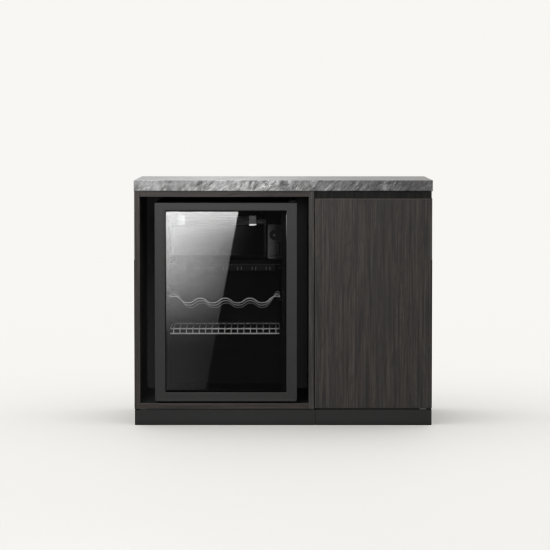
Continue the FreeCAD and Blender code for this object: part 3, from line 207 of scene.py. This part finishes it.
def veneer(name, colour, grain="z", inner=None, painted_back_light=None, spread=0.45, painted_highlights=(), black=(), **more):
    """Oak veneer: streaks, strokes, pores and growth rings along the grain.

    Inner is the laminate of a board's hidden faces, and deep is a lighter tone painted towards its back as
    painted light. The edges in rim are painted lighter as painted highlights, and those in black are painted
    black as painted shade in the gaps, each as (axis, place, side)."""
    s = Shader(name)

    def beyond(axis, place, side):
        return s.math("GREATER_THAN" if side > 0 else "LESS_THAN", s.axis(axis), place)

    along = s.grain(grain, 0.03)
    streaks = s.noise(along, 150, 7, 0.75)
    strokes = s.noise(s.grain(grain, 0.018), 240, 3, 0.6)
    flecks = s.noise(s.grain(grain, 0.07, move=(3, 5, 2)), 230, 2, 0.5)
    pores = s.noise(along, 480, 3, 0.6)
    clouds = s.noise(s.grain(grain, 0.09, 3), 2.6, 3, 0.5, 0.6)
    rings = s.noise(s.grain(grain, 0.25, 3, (0.7, 0, 0.4)), 4.0, 2, 0.45, 0.3)
    lines = s.math("SINE", s.math("MULTIPLY", rings, 260.0))
    dull, bright = scaled(colour, 1 - spread), scaled(colour, 1 + spread)
    tint = s.ramp(streaks, [(0.38, dull), (0.5, colour), (0.62, bright)])
    for pattern, low, high, at_low, at_high, share in (
            (lines, 0.2, 0.9, 0.0, 0.5, 0.45),
            (strokes, 0.34, 0.5, 0.8, 0.0, 0.2),
            (strokes, 0.52, 0.66, 0.0, 0.6, 2.4),
            (flecks, 0.33, 0.42, 0.7, 0.0, 0.15),
            (clouds, 0.35, 0.65, 0.0, 0.45, 0.74),
            (pores, 0.36, 0.47, 0.55, 0.0, 0.35)):
        tint = s.mix(s.remap(pattern, low, high, at_low, at_high), tint, scaled(colour, share))
    # Painted highlights: these edges are painted lighter
    for edge in painted_highlights:
        tint = s.mix(s.math("MULTIPLY", beyond(*edge), 0.6), tint, scaled(colour, 3.4))
    if inner is not None:
        # Painted light: the inner laminate is painted lighter towards the back
        if painted_back_light is not None:
            inner = s.mix(s.remap(s.axis(1), *BACK_LIGHT_SPAN_Y, 0.0, 1.0), inner, painted_back_light)
        front = beyond(1, BOARD_FRONT_Y, -1)
        outside = s.math("GREATER_THAN", s.math("ABSOLUTE", s.axis(0)), OUTER_SIDE_X)
        tint = s.mix(s.math("MAXIMUM", front, outside), inner, tint)
    # Painted shade: these edges are painted black where they lie in shade in the gaps
    for edge in black:
        tint = s.mix(beyond(*edge), tint, 0.003)
    relief = s.bump(pores, 0.00012, 0.6)
    wear = s.remap(streaks, 0.35, 0.65, 0.42, 0.56)
    return s.end(s.surface(base_color=tint, roughness=wear, normal=relief, **more))


# Below this z the stone is painted near black as a painted shadow line under it, and its front face goes over
# to the top face between these two, above which the top is painted lighter as painted light
STONE_SHADOW_Z = 0.772
STONE_EDGE_Z = (0.8045, 0.8058)


def marble():
    """Grey marble: mottled clouds, soft light veins that lean to the right, dark flecks in patches. Partly
    painted shade darkens it to the right, painted light lightens the top, and a painted shadow line runs
    below.
    """
    s = Shader("grey_marble")

    def crests(angle, length, move, scale, detail, rough, twist):
        """Zero along thin winding lines, and rising on both sides of them."""
        field = s.noise(s.leaning(angle, length, move), scale, detail, rough, twist)
        return s.math("ABSOLUTE", s.math("SUBTRACT", field, 0.5))

    def patches(move, scale, low, high, least):
        field = s.noise(s.place(move=move), scale, 2)
        return s.math("MULTIPLY", s.remap(field, low, high, least, 1.0), calm)

    def drawn(base, lines, width, share, where, ink):
        """The base with lines of the given half width drawn into it."""
        return s.mix(s.math("MULTIPLY", s.remap(lines, 0.0, width, share, 0.0), where), base, ink)

    height = s.axis(2)
    calm = s.remap(height, *STONE_EDGE_Z, 1.0, 0.6)
    drift = s.noise(s.place(), 3.0, 3, 0.5, 0.6)
    along = s.math("ADD", s.axis(0), s.math("MULTIPLY", s.math("SUBTRACT", drift, 0.5), 0.25))
    # Darker towards the right: partly the marble's own tone, partly painted shade where the light falls off
    base = s.ramp(s.remap(along, -0.49, 0.49, 0, 1), [
        (0.0, 0.22), (0.12, 0.275), (0.3, 0.33), (0.48, 0.28), (0.6, 0.165), (0.76, 0.128), (1.0, 0.095)])
    clouds = s.noise(s.leaning(50, 2.4), 16, 8, 0.62, 0.8)
    base = s.mix(s.remap(clouds, 0.38, 0.6, 0.6, 0.0), base, s.mix(0.7, base, 0.03))
    grain = s.noise(s.leaning(35, 2.0, (4, 4, 4)), 110, 5, 0.7, 0.2)
    base = s.mix(s.remap(grain, 0.3, 0.7, 0.0, 1.0), s.mix(0.4, base, 0.0), s.times(base, 1.6))
    flecks = s.noise(s.leaning(40, 3.0, (6, 2, 3)), 62, 4, 0.6, 0.3)
    base = s.mix(s.remap(flecks, 0.36, 0.44, 0.6, 0.0), base, 0.03)
    veined = patches((1, 4, 2), 5.5, 0.4, 0.62, 0.15)
    wide = crests(48, 3.4, (0, 0, 0), 13.0, 4, 0.55, 0.7)
    base = drawn(base, wide, 0.045, 0.5, veined, s.times(base, 2.2))
    thin = crests(42, 4.0, (2, 5, 1), 24.0, 4, 0.55, 0.8)
    base = drawn(base, thin, 0.014, 0.7, veined, s.times(base, 2.4))
    dark = crests(46, 3.0, (3, 1, 2), 26, 5, 0.65, 0.9)
    base = drawn(base, dark, 0.04, 0.8, patches((7, 2, 1), 6.5, 0.47, 0.58, 0.0), 0.03)
    # Painted light: the top face is painted lighter than the front
    base = s.mix(s.remap(height, *STONE_EDGE_Z, 0.0, 1.0), base, 1.2, "MULTIPLY")
    # Painted shadow: below the shadow line the stone is painted near black
    base = s.mix(s.math("LESS_THAN", height, STONE_SHADOW_Z), base, 0.006)
    wear = s.remap(clouds, 0.3, 0.7, 0.3, 0.42)
    shine = s.remap(s.noise(s.leaning(60, 2.0, (1, 6, 3)), 30, 5, 0.6, 0.6), 0.4, 0.6, 0.12, 0.5)
    relief = s.bump(clouds, 0.00008)
    return s.end(s.surface(base_color=base, roughness=wear, normal=relief, specular_ior_level=shine))


def pane(name, clear, rough, ior, spots=0.0):
    """Clear sheet: what is behind it shows through, and the Fresnel share of light is mirrored."""
    s = Shader(name)
    share = s.add("Fresnel", {"IOR": ior}).outputs[0]
    smear = s.remap(s.noise(s.place(), 6, 5, 0.6, 0.5), 0.4, 0.7, rough, rough + 0.03 + spots)
    mirror = s.add("BsdfAnisotropic", {"Color": rgba(0.95), "Roughness": smear}).outputs[0]
    through = s.add("BsdfTransparent", {"Color": rgba(clear)}).outputs[0]
    return s.end(s.add("MixShader", {0: share, 1: through, 2: mirror}).outputs[0])


# Materials

oak = screen(49, 42, 39)
black_board = screen(24)
knob_low, knob_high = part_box("thermostat_knob")
knob_middle = ((knob_low[0] + knob_high[0]) / 2, knob_low[1], (knob_low[2] + knob_high[2]) / 2)
bay_back_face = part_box("bay_back_panel")[0][1] + 0.0005
# The cupboard boards' front edges, which lie behind the door in its shadow, are painted black as painted
# shade
cupboard = {"inner": screen(44, 42, 40), "black": ((1, -0.2265, -1),)}
# The lamp's housing and lens are painted light at their left edge and fade to painted shade towards the right
housing_painted_shade = (0, -0.05, -0.022, 0.006)

materials = {
    "stone": marble(),
    # The left board's inner laminate is painted lighter towards the back, as painted light in the recess
    "frame_left": veneer("dark_oak_left", screen(47, 40, 36), "z", screen(60), screen(150)),
    # The right board's edge at the gap to the cupboard is painted black as painted shade
    "frame_right": veneer("dark_oak_right", screen(53, 50, 47), "z", screen(80), black=((0, 0.1011, 1),)),
    "frame_h": veneer("dark_oak_level", scaled(oak, 0.94), "x", black_board),
    # The bottom board's top front edge is painted lighter as a painted highlight
    "frame_low": veneer("dark_oak_bottom", scaled(oak, 0.9), "x", screen(32), painted_highlights=((2, 0.0692, 1),)),
    "cupboard_v": veneer("cupboard_oak_upright", oak, "z", **cupboard),
    "cupboard_left": veneer("cupboard_oak_inner", oak, "z", **cupboard, specular_ior_level=0.0),
    "cupboard_h": veneer("cupboard_oak_level", oak, "x", **cupboard),
    # The door's top and left edges are painted lighter as painted highlights
    "door": veneer("door_oak", screen(48, 43, 40), "z", spread=0.6, painted_highlights=((2, 0.7443, 1), (0, 0.1055, -1))),
    "channel": veneer("channel_oak", screen(48, 44, 41), "z"),
    "back_board": finish("back_board", black_board, 0.12, 30, rough=(0.5, 0.6)),
    "bay_back": finish("bay_back_board", black_board, 0.12, 30, rough=(0.5, 0.6),
                       zones=((1, -1, bay_back_face, 0.085),)),
    # The plinth is painted darker towards its foot as painted contact shadow
    "plinth": finish("plinth_laminate", screen(23), 0.1, 50, (0.1, 1, 1), (0.42, 0.52),
                     fade=(2, 0.018, 0.004, 0.001)),
    "zinc": finish("zinc_plated_steel", 0.55, 0.12, 120, rough=(0.3, 0.42), metallic=1.0),
    "pivot": finish("pivot_steel", 0.012, 0.12, 120, rough=(0.5, 0.6), specular_ior_level=0.3),
    "hinge": finish("black_hinge_steel", 0.005, 0.12, 120, rough=(0.5, 0.6), specular_ior_level=0.25),
    "bumper": finish("soft_bumper", 0.04, 0.08, 90, rough=(0.3, 0.4)),
    "catch": finish("catch_plastic", 0.06, 0.12, 90, rough=(0.4, 0.5)),
    "fridge_sheet": finish("black_painted_sheet", screen(34), 0.1, 300, rough=(0.36, 0.44), bump=0.00006),
    "back_sheet": finish("galvanised_sheet", 0.34, 0.2, 45, rough=(0.34, 0.5), metallic=1.0),
    "liner": finish("black_liner", screen(7), 0.08, 60, rough=(0.5, 0.6), bump=0.00001,
                    specular_ior_level=0.3),
    "foam": finish("foam", (0.72, 0.6, 0.33), 0.1, 400, rough=(0.85, 0.95), bump=0.0004),
    "foot": finish("foot_rubber", 0.02, 0.15, 200, rough=(0.6, 0.7)),
    "door_metal": finish("door_frame_enamel", screen(37), 0.05, 500, rough=(0.38, 0.46), bump=0.00002),
    "outer_glass": pane("tinted_glass", 0.93, 0.0, 1.5),
    "inner_glass": pane("clear_glass", 0.95, 0.0, 1.5),
    # The lip edge is painted light at its upper end as a painted highlight, and black below
    "lip_edge": finish("lip_edge_painted_highlight", 0.3, 0.05, 300, rough=(0.3, 0.4), bump=0.00001,
                       fade=(2, 0.69, 0.6, 0.004), specular_ior_level=0.2),
    "spacer": finish("black_spacer", 0.004, 0.1, 80, rough=(0.5, 0.6)),
    "door_back": finish("door_back_plastic", screen(30, 30, 31), 0.1, 90, rough=(0.32, 0.42)),
    "gasket": finish("door_gasket", screen(30), 0.12, 160, rough=(0.55, 0.68)),
    "bead": finish("black_bead", 0.003, 0.1, 160, rough=(0.6, 0.7), specular_ior_level=0.0),
    "evaporator": finish("evaporator_aluminium", 0.62, 0.12, 60, (1, 0.1, 1), (0.3, 0.42),
                         zones=((2, 0.6712, 1, 0.02),), metallic=1.0),
    "icebox_trim": finish("icebox_trim", screen(12), 0.1, 70, rough=(0.4, 0.5), zones=((2, 0.649, 1, 0.1),)),
    "clear_flap": pane("clear_flap", 0.86, 0.04, 1.45, 0.05),
    "white_trim": finish("icebox_clip", screen(32), 0.06, 90, rough=(0.35, 0.42),
                         zones=((2, 0, 0.6555, 0.92), (0, -1, -0.2, 0.2)), specular_ior_level=0.2),
    # The tray's upper rim and front edge are painted lighter as painted highlights
    "tray": finish("smoke_tray", screen(12, 12, 13), 0.1, 60, rough=(0.3, 0.4),
                   zones=((2, 0.5198, 1, 0.08), (1, -1, -0.09625, 0.3)), specular_ior_level=0.3),
    "knob": finish("knob_plastic", 0.004, 0.1, 200, rough=(0.3, 0.38), specular_ior_level=0.25,
                   dot=(knob_middle, 0.0032, 0.3)),
    "lens": finish("smoked_lens", 0.26, 0.08, 80, (1, 6, 1), (0.3, 0.4), fade=housing_painted_shade,
                   specular_ior_level=0.3),
    "housing": finish("thermostat_housing", 0.3, 0.06, 120, rough=(0.4, 0.5), fade=housing_painted_shade,
                      specular_ior_level=0.3),
    # The wires are painted darker towards the back as painted shade
    "rack_wire": finish("chromed_wire", 0.88, 0.04, 200, rough=(0.3, 0.38), bump=0.00001,
                        fade=(1, -0.16, 0.06, 0.3), metallic=0.15),
    "pot": finish("compressor_enamel", 0.018, 0.15, 90, rough=(0.28, 0.4)),
    "relay": finish("relay_plastic", 0.03, 0.12, 120, rough=(0.45, 0.55)),
    "condenser": finish("condenser_enamel", 0.02, 0.15, 150, rough=(0.35, 0.5)),
    "copper": finish("copper_pipe", (0.78, 0.36, 0.2), 0.15, 90, rough=(0.22, 0.38), metallic=1.0),
}

dress = {
    "stone": "stone_top",
    "frame_left": "bay_left_side",
    "frame_right": "bay_right_side",
    "frame_h": "bay_top_panel",
    "frame_low": "bay_bottom_panel",
    "cupboard_left": "cupboard_left_side",
    "cupboard_v": "cupboard_right_side",
    "cupboard_h": "cupboard_top_panel cupboard_bottom_panel cupboard_shelf",
    "back_board": "cupboard_back_panel",
    "bay_back": "bay_back_panel",
    "channel": "finger_channel",
    "door": "cupboard_door",
    "plinth": "bay_plinth_front cupboard_plinth_front plinth_back_board plinth_cross_boards",
    "zinc": "shelf_pins hinge_screws compressor_tray catch_strike",
    "pivot": "cupboard_pivot_hinges module_bolts",
    "hinge": "fridge_hinge_brackets hinge_cover",
    "bumper": "door_bumpers",
    "catch": "catch_magnet",
    "fridge_sheet": "fridge_outer_shell fridge_base_plate",
    "back_sheet": "fridge_back_plate",
    "liner": "fridge_inner_liner",
    "foam": "fridge_foam",
    "foot": "fridge_feet compressor_mounts",
    "door_metal": "door_frame",
    "outer_glass": "door_outer_glass",
    "inner_glass": "door_inner_glass",
    "spacer": "glass_spacer",
    "door_back": "door_inner_frame",
    "gasket": "door_gasket",
    "evaporator": "icebox_evaporator",
    "icebox_trim": "icebox_front_frame",
    "clear_flap": "icebox_flap",
    "white_trim": "icebox_clips",
    "tray": "drip_tray",
    "housing": "thermostat_housing",
    "lens": "lamp_lens",
    "knob": "thermostat_knob",
    "rack_wire": "wave_rack wire_shelf",
    "pot": "compressor",
    "relay": "start_relay_cover cord_gland condensate_pan",
    "condenser": "condenser_coil condenser_standoffs",
    "copper": "filter_drier refrigerant_pipes",
}

# How many mm the edges of these nodes are broken by; the rest only get smooth shading
broken = {
    "stone_top": 0.8, "bay_left_side": 0.8, "bay_right_side": 0.8, "bay_top_panel": 0.6,
    "bay_bottom_panel": 0.8, "cupboard_left_side": 0.8, "cupboard_right_side": 0.8,
    "cupboard_top_panel": 0.6, "cupboard_bottom_panel": 0.6, "cupboard_shelf": 0.8, "finger_channel": 0.6,
    "cupboard_door": 0.9, "bay_plinth_front": 0.6, "cupboard_plinth_front": 0.6, "door_frame": 0.5,
}
sharp_angle = math.radians(35)


def smooth(piece, edge=0.0):
    """Welded, smooth-shaded, with its sharp edges either broken or kept sharp."""
    for name in ("custom_normal", "sharp_face"):
        if name in piece.data.attributes:
            piece.data.attributes.remove(piece.data.attributes[name])
    for polygon in piece.data.polygons:
        polygon.use_smooth = True
    weld = piece.modifiers.new("weld", "WELD")
    weld.merge_threshold = 0.00001
    if edge:
        bevel = piece.modifiers.new("broken_edges", "BEVEL")
        bevel.width = edge / 1000
        bevel.segments = 2
        bevel.limit_method = "ANGLE"
        bevel.angle_limit = sharp_angle
        bevel.use_clamp_overlap = True
        normals = piece.modifiers.new("normals", "WEIGHTED_NORMAL")
        normals.keep_sharp = True
    else:
        split = piece.modifiers.new("sharp_edges", "EDGE_SPLIT")
        split.split_angle = sharp_angle


for key, names in dress.items():
    for name in names.split():
        node = nodes[name]
        if not node.material_slots:
            node.data.materials.append(materials[key])
        for slot in node.material_slots:
            slot.material = materials[key]
        smooth(node, broken.get(name, 0.0))


# Round wires and tubes along the solids' centre lines, in mm


def mm(*values):
    return Vector(values) / 1000


def rounded(points, bend):
    """The points with a fine arc round each of their corners, of the given radius or less."""
    line = [points[0]]
    for i in range(1, len(points) - 1):
        before = points[i - 1] - points[i]
        after = points[i + 1] - points[i]
        half = before.angle(after) / 2
        turn = math.pi - 2 * half
        radius = min(bend, min(before.length, after.length) / 2 * math.tan(half))
        before.normalize()
        after.normalize()
        centre = points[i] + (before + after).normalized() * (radius / math.sin(half))
        first = points[i] + before * (radius / math.tan(half)) - centre
        last = points[i] + after * (radius / math.tan(half)) - centre
        chords = max(2, math.ceil(turn / math.radians(9)))
        for k in range(chords + 1):
            share = k / chords
            arm = first * math.sin((1 - share) * turn) + last * math.sin(share * turn)
            line.append(centre + arm / math.sin(turn))
    line.append(points[-1])
    return line


def wires(name, lines, body, node, key):
    """One piece of round wires, each given as its corner points, bend and radius in mm."""
    curve = bpy.data.curves.new(name, "CURVE")
    curve.dimensions = "3D"
    curve.bevel_depth = 0.001
    curve.bevel_resolution = 3
    curve.use_fill_caps = True
    for points, bend, radius in lines:
        line = rounded([mm(*p) for p in points], bend / 1000)
        spline = curve.splines.new("POLY")
        spline.points.add(len(line) - 1)
        for point, place in zip(spline.points, line):
            point.co = (*place, 1)
            point.radius = radius
        spline.use_smooth = True
    curve.materials.append(materials[key])
    piece = bpy.data.objects.new(name, curve)
    scene.collection.objects.link(piece)
    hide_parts(node)
    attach(piece, body)


# Rack and shelf: x of the end bars' centre lines, x where the wires between them end, radii
bar_left, bar_right = -375.3, -12.7
wire_left, wire_right = -373.1, -14.9
bar_radius, wire_radius = 2.2, 1.7
straight = 0


def wave_lines():
    """Three wires with four valleys each. Those behind the front one hang lower."""
    front_y, row_pitch, bar_z = -150, 105, 418
    first_valley, valleys, wave_pitch = -317, 4, 82.7
    crest_half, valley_half, end_half, lead_in = 10, 12, 7, 10
    last_valley = first_valley + (valleys - 1) * wave_pitch
    lines = []
    for row in range(3):
        y = front_y + row_pitch * row
        end = bar_z - 11 * row
        crest = 411.5 - 16 * row
        valley = 396.5 - 16 * row
        points = [(wire_left, y, bar_z)]
        if row:
            points.append((wire_left + lead_in, y, bar_z))
        points.append((first_valley - wave_pitch / 2 + end_half, y, end))
        for k in range(valleys):
            x = first_valley + wave_pitch * k
            points += [(x - valley_half, y, valley), (x + valley_half, y, valley)]
            if k < valleys - 1:
                top = x + wave_pitch / 2
                points += [(top - crest_half, y, crest), (top + crest_half, y, crest)]
        points.append((last_valley + wave_pitch / 2 - end_half, y, end))
        if row:
            points.append((wire_right - lead_in, y, bar_z))
        points.append((wire_right, y, bar_z))
        lines.append((points, 25, wire_radius))
    for x in (bar_left, bar_right):
        lines.append(([(x, -154.4, bar_z), (x, 64.4, bar_z)], straight, bar_radius))
    return lines


def shelf_lines():
    """A loop, its back bar, a lower front bar, and wires that bend down over the front."""
    loop_z, loop_front, back = 310, -151, 60
    low_z, low_y = 295, -161.1
    wire_z, wire_front, wire_foot = 313.9, -165, 293.3
    middle, count, pitch = -194, 17, 21.2
    loop = [(bar_left, back, loop_z), (bar_left, loop_front, loop_z), (bar_right, loop_front, loop_z),
            (bar_right, back, loop_z)]
    lines = [(loop, 9, bar_radius)]
    lines.append(([(wire_left, 57.8, loop_z), (wire_right, 57.8, loop_z)], straight, bar_radius))
    lines.append(([(bar_left, low_y, low_z), (bar_right, low_y, low_z)], straight, bar_radius))
    for i in range(count):
        x = middle + (i - (count - 1) / 2) * pitch
        points = [(x, back, wire_z), (x, wire_front, wire_z), (x, wire_front, wire_foot)]
        lines.append((points, 7, wire_radius))
    return lines


def condenser_lines():
    """A serpentine tube of eight runs, and thin upright wires behind it."""
    left, right, top, runs, height = -388.5, 11.5, 715, 8, 430
    pitch = height / (runs - 1)
    points = []
    for i in range(runs):
        ends = (left, right) if i % 2 == 0 else (right, left)
        points += [(x, 207, top - i * pitch) for x in ends]
    lines = [(points, pitch * 0.45, 2.4)]
    for i in range(17):
        x = left + pitch + (right - left - 2 * pitch) * i / 16
        lines.append(([(x, 210.3, 282.6), (x, 210.3, 717.4)], straight, 0.9))
    return lines


wires("wave_rack_wires", wave_lines(), "wave_rack", "wave_rack", "rack_wire")
wires("wire_shelf_wires", shelf_lines(), "wire_shelf", "wire_shelf", "rack_wire")
wires("condenser_wires", condenser_lines(), "cabinet", "condenser_coil", "condenser")


def mesh_piece(name, corners, faces, material):
    mesh = bpy.data.meshes.new(name)
    mesh.from_pydata(corners, [], faces)
    mesh.materials.append(material)
    piece = bpy.data.objects.new(name, mesh)
    scene.collection.objects.link(piece)
    return piece


def glass_bead():
    """A matt black bead that seals the outer glass to the door's lip, wider at the top and bottom."""
    outer = (-387.9, 10.9, 107.6, 706.9)
    inner = (-385.4, 8.4, 114.3, 702.7)
    front, back = -246.6, -243.0
    corners = []
    for (x0, x1, z0, z1), y in ((outer, back), (outer, front), (inner, front), (inner, back)):
        corners += [mm(x0, y, z0), mm(x1, y, z0), mm(x1, y, z1), mm(x0, y, z1)]
    faces = []
    for loop in range(4):
        a = 4 * loop
        b = 4 * ((loop + 1) % 4)
        for k in range(4):
            n = (k + 1) % 4
            faces.append((a + k, a + n, b + n, b + k))
    piece = mesh_piece("glass_bead", corners, faces, materials["bead"])
    bevel = piece.modifiers.new("rounded", "BEVEL")
    bevel.width = 0.00035
    bevel.segments = 3
    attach(piece, "fridge_door")


def lip_edge():
    """The slim inner edge of the door's lip on the right, whose upper end is painted light as a painted
    highlight.
    """
    section = ((9.7, -246.7), (10.88, -246.7), (10.88, -248.0))
    corners = [mm(x, y, z) for z in (107.7, 694.0) for x, y in section]
    faces = [(2, 1, 0), (3, 4, 5), (0, 1, 4, 3), (1, 2, 5, 4), (2, 0, 3, 5)]
    piece = mesh_piece("lip_edge", corners, faces, materials["lip_edge"])
    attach(piece, "fridge_door")


glass_bead()
lip_edge()

# Light: three soft lamps from the front and the upper left, a pale surround, and the floor's shadow


def lamp(name, place, aim, size, power, seen=True):
    data = bpy.data.lights.new(name, "AREA")
    data.shape = "DISK"
    data.size = size
    data.energy = power
    piece = bpy.data.objects.new(name, data)
    piece.location = place
    piece.rotation_euler = (Vector(aim) - Vector(place)).to_track_quat("-Z", "Y").to_euler()
    piece.visible_camera = seen
    scene.collection.objects.link(piece)
    return piece


lamps = [
    lamp("key", (-0.9, -3.2, 2.0), (-0.1, -0.2, 0.4), 1.8, 8),
    lamp("near", (-0.62, -1.2, 1.55), (-0.1, -0.25, 0.45), 0.7, 18.5),
    lamp("front", (0.1, -5.0, 1.15), (-0.05, -0.2, 0.4), 0.6, 12.5, seen=False),
]

# The surround shines from above, and looks the same pale colour all round where it is seen or mirrored
backdrop = screen(248, 247, 243)
world = bpy.data.worlds.new("studio")
scene.world = world
world.use_nodes = True
w = Tree(world.node_tree, "OutputWorld")
ray = w.add("LightPath").outputs
mirrored = w.math("MAXIMUM", ray["Is Glossy Ray"], ray["Is Transmission Ray"])
seen = w.math("MAXIMUM", ray["Is Camera Ray"], mirrored)
upward = w.add("VectorMath", {0: w.add("TexCoord").outputs["Generated"], 1: (-0.25, -0.05, 0.967)},
               operation="DOT_PRODUCT").outputs["Value"]
sky = w.add("Background", {"Color": rgba(1), "Strength": w.remap(upward, -0.2, 1.0, 0.06, 1.0)}).outputs[0]
pale = w.add("Background", {"Color": rgba(backdrop), "Strength": 1.0}).outputs[0]
w.end(w.add("MixShader", {0: seen, 1: sky, 2: pale}).outputs[0])


def sheet(name, corners, material):
    piece = mesh_piece(name, corners, [tuple(range(len(corners)))], material)
    return piece


def floor_paint():
    s = Shader("pale_floor")
    speck = s.remap(s.noise(s.place(), 30, 4), 0.3, 0.7, 0.0, 1.0)
    paint = s.mix(speck, scaled(backdrop, 0.5), scaled(backdrop, 0.54))
    return s.end(s.surface(base_color=paint, roughness=0.8))


floor = sheet("floor", [(-9, -9, 0), (9, -9, 0), (9, 9, 0), (-9, 9, 0)], floor_paint())
floor.is_shadow_catcher = True
floor.visible_glossy = False

# The lamps light the object only, so that the floor keeps just the soft shadow of the pale surround
unlit = bpy.data.collections.new("unlit")
unlit.objects.link(floor)
unlit.collection_objects[0].light_linking.link_state = "EXCLUDE"
for piece in lamps:
    piece.light_linking.receiver_collection = unlit

# Spots through the glass light the fittings, not the walls
for name, place, power, lit in (
        ("wire_spot", (-0.4, -4.6, 1.1), 55, ("wave_rack_wires", "wire_shelf_wires")),
        ("clip_spot", (-1.1, -3.7, 1.0), 270, ("icebox_clips",))):
    spot = lamp(name, place, (-0.25, -0.1, 0.45), 0.5, power, seen=False)
    fittings = bpy.data.collections.new(name)
    for part in lit:
        fittings.objects.link(bpy.data.objects[part])
    spot.light_linking.receiver_collection = fittings


def card_light():
    """The dark studio in front, with one soft box whose slanted edge the glass mirrors."""
    s = Shader("front_card")
    x, z = s.axis(0), s.axis(2)
    edge = s.math("SUBTRACT", s.math("MULTIPLY", z, 0.1836), 0.3011)
    inside = s.remap(s.math("SUBTRACT", edge, x), -0.0008, 0.0008, 0.0, 1.0)
    left = s.remap(x, -0.75, -0.6, 0.0, 1.0)
    top = s.remap(z, 0.66, 0.63, 0.0, 1.0)
    height = s.remap(z, 0.0, 0.62, 0, 1)
    level = s.ramp(height, [(0.0, 0.02), (0.1, 0.035), (0.2, 0.07), (0.34, 0.16), (0.46, 0.28), (0.6, 0.4),
                            (0.75, 0.58), (0.88, 0.78), (1.0, 0.94)])
    least = s.ramp(height, [(0.0, 0.1), (0.64, 0.1), (0.79, 0.25), (0.93, 0.7), (1.0, 0.75)])
    glow = s.remap(x, -0.5, -0.19, 1.0, least)
    for bound in (inside, left, top):
        glow = s.math("MULTIPLY", glow, bound)
    box = s.add("Emission", {"Color": s.mix(glow, 0.0, level), "Strength": 8.2}).outputs[0]
    dark = s.add("Emission", {"Color": rgba(0.02), "Strength": 1.0}).outputs[0]
    return s.end(s.add("AddShader", {0: box, 1: dark}).outputs[0])


card = sheet("front_card", [(-3.2, -3, -1.2), (3.2, -3, -1.2), (3.2, -3, 3), (-3.2, -3, 3)], card_light())
card.visible_camera = False
card.visible_diffuse = False
card.visible_shadow = False
card.visible_transmission = False
